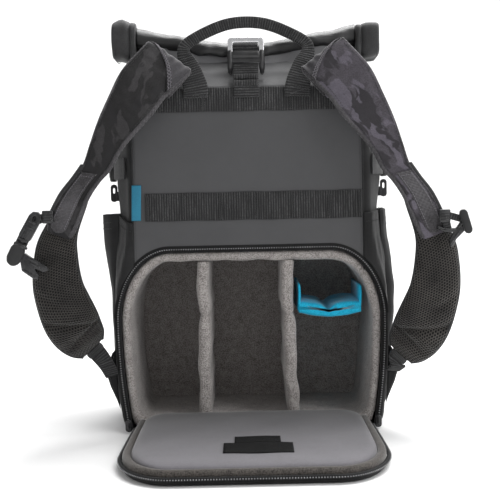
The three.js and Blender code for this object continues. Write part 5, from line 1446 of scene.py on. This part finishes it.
def pocket_ring(side, sign, share, inset, count=72):
    z = POCKET_LOW + share * (POCKET_MOUTH - POCKET_LOW)
    root = body_share(2, z) * BODY_HALF + CLEAR
    rows = POCKET_ROWS[side]
    out = np.interp(share, [r[0] for r in rows], [r[1] for r in rows]) * POCKET_DEEP
    plan = np.array([(0, 0), (0.62, 0.04), (1, 0.17), (1, 0.5), (1, 0.83), (0.62, 0.96), (0, 1)])
    curve = spline(plan, count - 14)
    ring = []
    for reach, along in curve:
        pleat = 1.5 * math.exp(-((along - 0.2) / 0.025) ** 2) * min(1, share / 0.15)
        stand = max(inset * 0.4, min(1.0, reach) * out - inset - pleat)
        y = POCKET_REAR + inset + along * (POCKET_FRONT - POCKET_REAR - 2 * inset)
        ring.append((sign * (root + stand), y, z))
    first, last = ring[0], ring[-1]
    ring += [tuple(np.array(last) + (np.array(first) - last) * t) for t in np.linspace(0, 1, 16)[1:-1]]
    return ring


def pocket(side, sign, seed):
    shares = np.concatenate([[0.0, 0.006], np.linspace(0.02, 0.97, 60), [0.985, 0.997, 1.0]])
    rows = [pocket_ring(side, sign, share, 0.25 if share in (0.0, 1.0) else 0.0) for share in shares]
    rows += [pocket_ring(side, sign, share, 1.5) for share in np.linspace(0.995, 0.12, 40)]
    rows = np.array(rows)
    reach = np.abs(rows[..., 0]) - body_share(2, rows[..., 2]) * BODY_HALF
    height = (rows[..., 2] - POCKET_LOW) / (POCKET_MOUTH - POCKET_LOW)
    slack = np.clip(reach / 4, 0, 1) * np.clip(height / 0.15, 0, 1)
    wave = folds(rows * [1, 1, 0.28], 17, seed) + 0.6 * folds(rows, 30, seed + 1)
    rows[..., 0] += sign * wave * 0.8 * slack
    mouth = np.clip((height - 0.9) / 0.1, 0, 1)
    rows[..., 2] += 1.1 * folds(rows * [1, 1, 0], 36, seed + 2) * mouth * slack - 1.0 * mouth
    made = skin(f"pocket_cloth_{side}", rows, gusset)
    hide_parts(f"side_pocket_{side}")
    hem = [rows[k][6:50] + np.array([sign * 0.35, 0, 0]) for k in (58, 60)]
    stitches(f"pocket_stitches_{side}", hem, (sign, -0.3, 0), pitch=2.8)
    return made


WRAP_LOW, WRAP_HEM = 122, {"left": (221, 231), "right": (228, 230)}


def pocket_wrap(side, sign, seed):
    """The pocket's cloth carried round the bag's corner to the panel seam, hemmed at its mouth."""
    seam = SEAM_LEFT if sign < 0 else SEAM_RIGHT
    rows = []
    for s in np.linspace(0, 1, 46):
        z = WRAP_LOW + s * (226 - WRAP_LOW)
        ring = body_ring(z, -0.9)
        edge = max(seam + 0.4, door_half_at(z) + 3.6)
        corner = ring[(ring[:, 0] * sign > edge) & (ring[:, 1] < -52)]
        corner = corner[np.argsort(corner[:, 1] * 1.0 + np.abs(corner[:, 0]) * 1.0)]
        start = np.array([[sign * edge, -body_share(3, z) * DEPTH_HALF - 0.9, z]])
        line = even_points(np.concatenate([start, corner])[:, :2], 26)
        low_hem, high_hem = WRAP_HEM[side]
        tops = np.linspace(low_hem, high_hem, 26)
        rows.append([(x, y, WRAP_LOW + s * (top - WRAP_LOW)) for (x, y), top in zip(line, tops)])
    rows = np.array(rows)
    out = np.stack([sign * np.linspace(0.15, 1, 26), -np.linspace(1, 0.3, 26), np.zeros(26)], axis=1)
    wave = folds(rows * [1, 1, 0.4], 14, seed) * 0.5 + 0.35
    mouth = np.linspace(0, 1, 46)[:, None] ** 10 * np.sin(np.linspace(0, math.pi, 26))[None, :] * 2.2
    rows += out[None] * (np.clip(wave, 0, 1.2) + mouth)[..., None]
    made = skin(f"pocket_wrap_{side}", rows, gusset, closed=False, caps=False)
    thickened(made, 1.0)
    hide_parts(f"side_pocket_{side}")
    hem = [[rows[k][j] + out[j] * 0.6 for j in range(1, 25)] for k in (41,)]
    stitches(f"wrap_stitches_{side}", hem, (sign * 0.6, -0.8, 0), pitch=2.6, look=dark_thread)


def door_half_at(z):
    """Half width of the doorway's zip at a height."""
    crown = DOOR_TOP - DOOR_TALL
    if z <= crown:
        return DOOR_HALF
    up = min(1.0, (z - crown) / DOOR_TALL)
    return DOOR_HALF - DOOR_WIDE + DOOR_WIDE * math.sqrt(1 - up * up)


pocket("left", -1, 101)
pocket("right", 1, 111)
pocket_wrap("left", -1, 121)
pocket_wrap("right", 1, 122)

# Compression straps round the sides, each with its side-release lock, and a cord loop below.
STRAP_LOW, STRAP_TALL = BODY_HEIGHT - 123, 22


def side_strap(side, sign):
    z = STRAP_LOW + STRAP_TALL / 2
    half, back = body_share(2, z) * BODY_HALF, body_share(1, z) * BODY_HALF
    slope_end = -DEPTH_HALF + body_share(5, z) * DEPTH_HALF
    off = CLEAR + 1 + 0.3
    path = [(back + 1.6, -DEPTH_HALF + 4), ((back + half) / 2 + off, (slope_end - DEPTH_HALF) / 2 - 1),
            (half + off, slope_end + 1), (half + off, slope_end + 20), (half + off, DEPTH_HALF / 2)]
    stations = [((sign * x, y, z), (0, 0, 1), STRAP_TALL, 2) for x, y in path]
    tape_strap(f"side_webbing_{side}", stations, 50, f"compression_web_{side}")
    moulded(f"side_lock_{side}", f"compression_lock_{side}", black_plastic, 1.4)
    near = half + off + 1 + CLEAR
    bars = [((sign * (near + 6.1), -34 + d, z), (0, 0, 9), (0, 0.8, 0), (sign * 0.7, 0, 0))
            for d in (4, 7, 13, 16)]
    rungs = box_rows(f"side_lock_bars_{side}", bars, black_plastic)
    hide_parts(f"compression_lock_{side}")
    moulded(f"cord_loop_{side}", f"side_loop_{side}", binding, 0.9)
    tab = [((sign * (half - 0.6), -38, z - 29), (0, 0, 5), (0, 2.6, 0), (sign * 2.6, 0, 0))]
    anchor_tab = box_rows(f"loop_tab_{side}", tab, webbing)
    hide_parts(f"side_loop_{side}")


side_strap("left", -1)
side_strap("right", 1)

# Zip sliders at the doorway's feet, each with a folded cord pull.
for side, sign in (("left", -1), ("right", 1)):
    moulded(f"slider_body_{side}", f"zip_slider_{side}", gloss_plastic, 1.1)
    x = sign * (door_path(DOOR_HALF, DOOR_LOW_HALF, DOOR_LOW, DOOR_TOP, DOOR_WIDE, DOOR_TALL, 0, 8)[0][0])
    pull = [(np.array([x, PANEL_FACE - 7.6, 9.5]), (0, 0, 4.2), (1.3, 0, 0), (0, 0.9, 0))]
    tab = box_rows(f"slider_pull_{side}", pull, gloss_plastic)
    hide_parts(f"zip_slider_{side}")

# Panel seams: the smooth panel is joined to the gussets by a narrow welt with a row of stitches.
def panel_point(x, z, stand):
    rear = body_share(3, z) * DEPTH_HALF
    return (x, -rear - stand, z)


for side, seam_x in (("left", -SEAM_LEFT), ("right", SEAM_RIGHT)):
    heights = np.linspace(168, 384, 70)
    x_at = [math.copysign(min(abs(seam_x), body_share(1, z) * BODY_HALF - REAR_CORNER - 1), seam_x)
            for z in heights]
    path = [panel_point(x, z, 0.1) for x, z in zip(x_at, heights)]
    welt = edge_tube(f"panel_welt_{side}", path, 0.8, dark_thread)
    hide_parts("bag_shell")
    inward = 2.6 if seam_x < 0 else -2.6
    row = [panel_point(x + inward, z, 0.1) for x, z in zip(x_at, heights)]
    stitches(f"panel_stitches_{side}", [row], TOWARD_BACK, wide=0.2, tall=0.2)
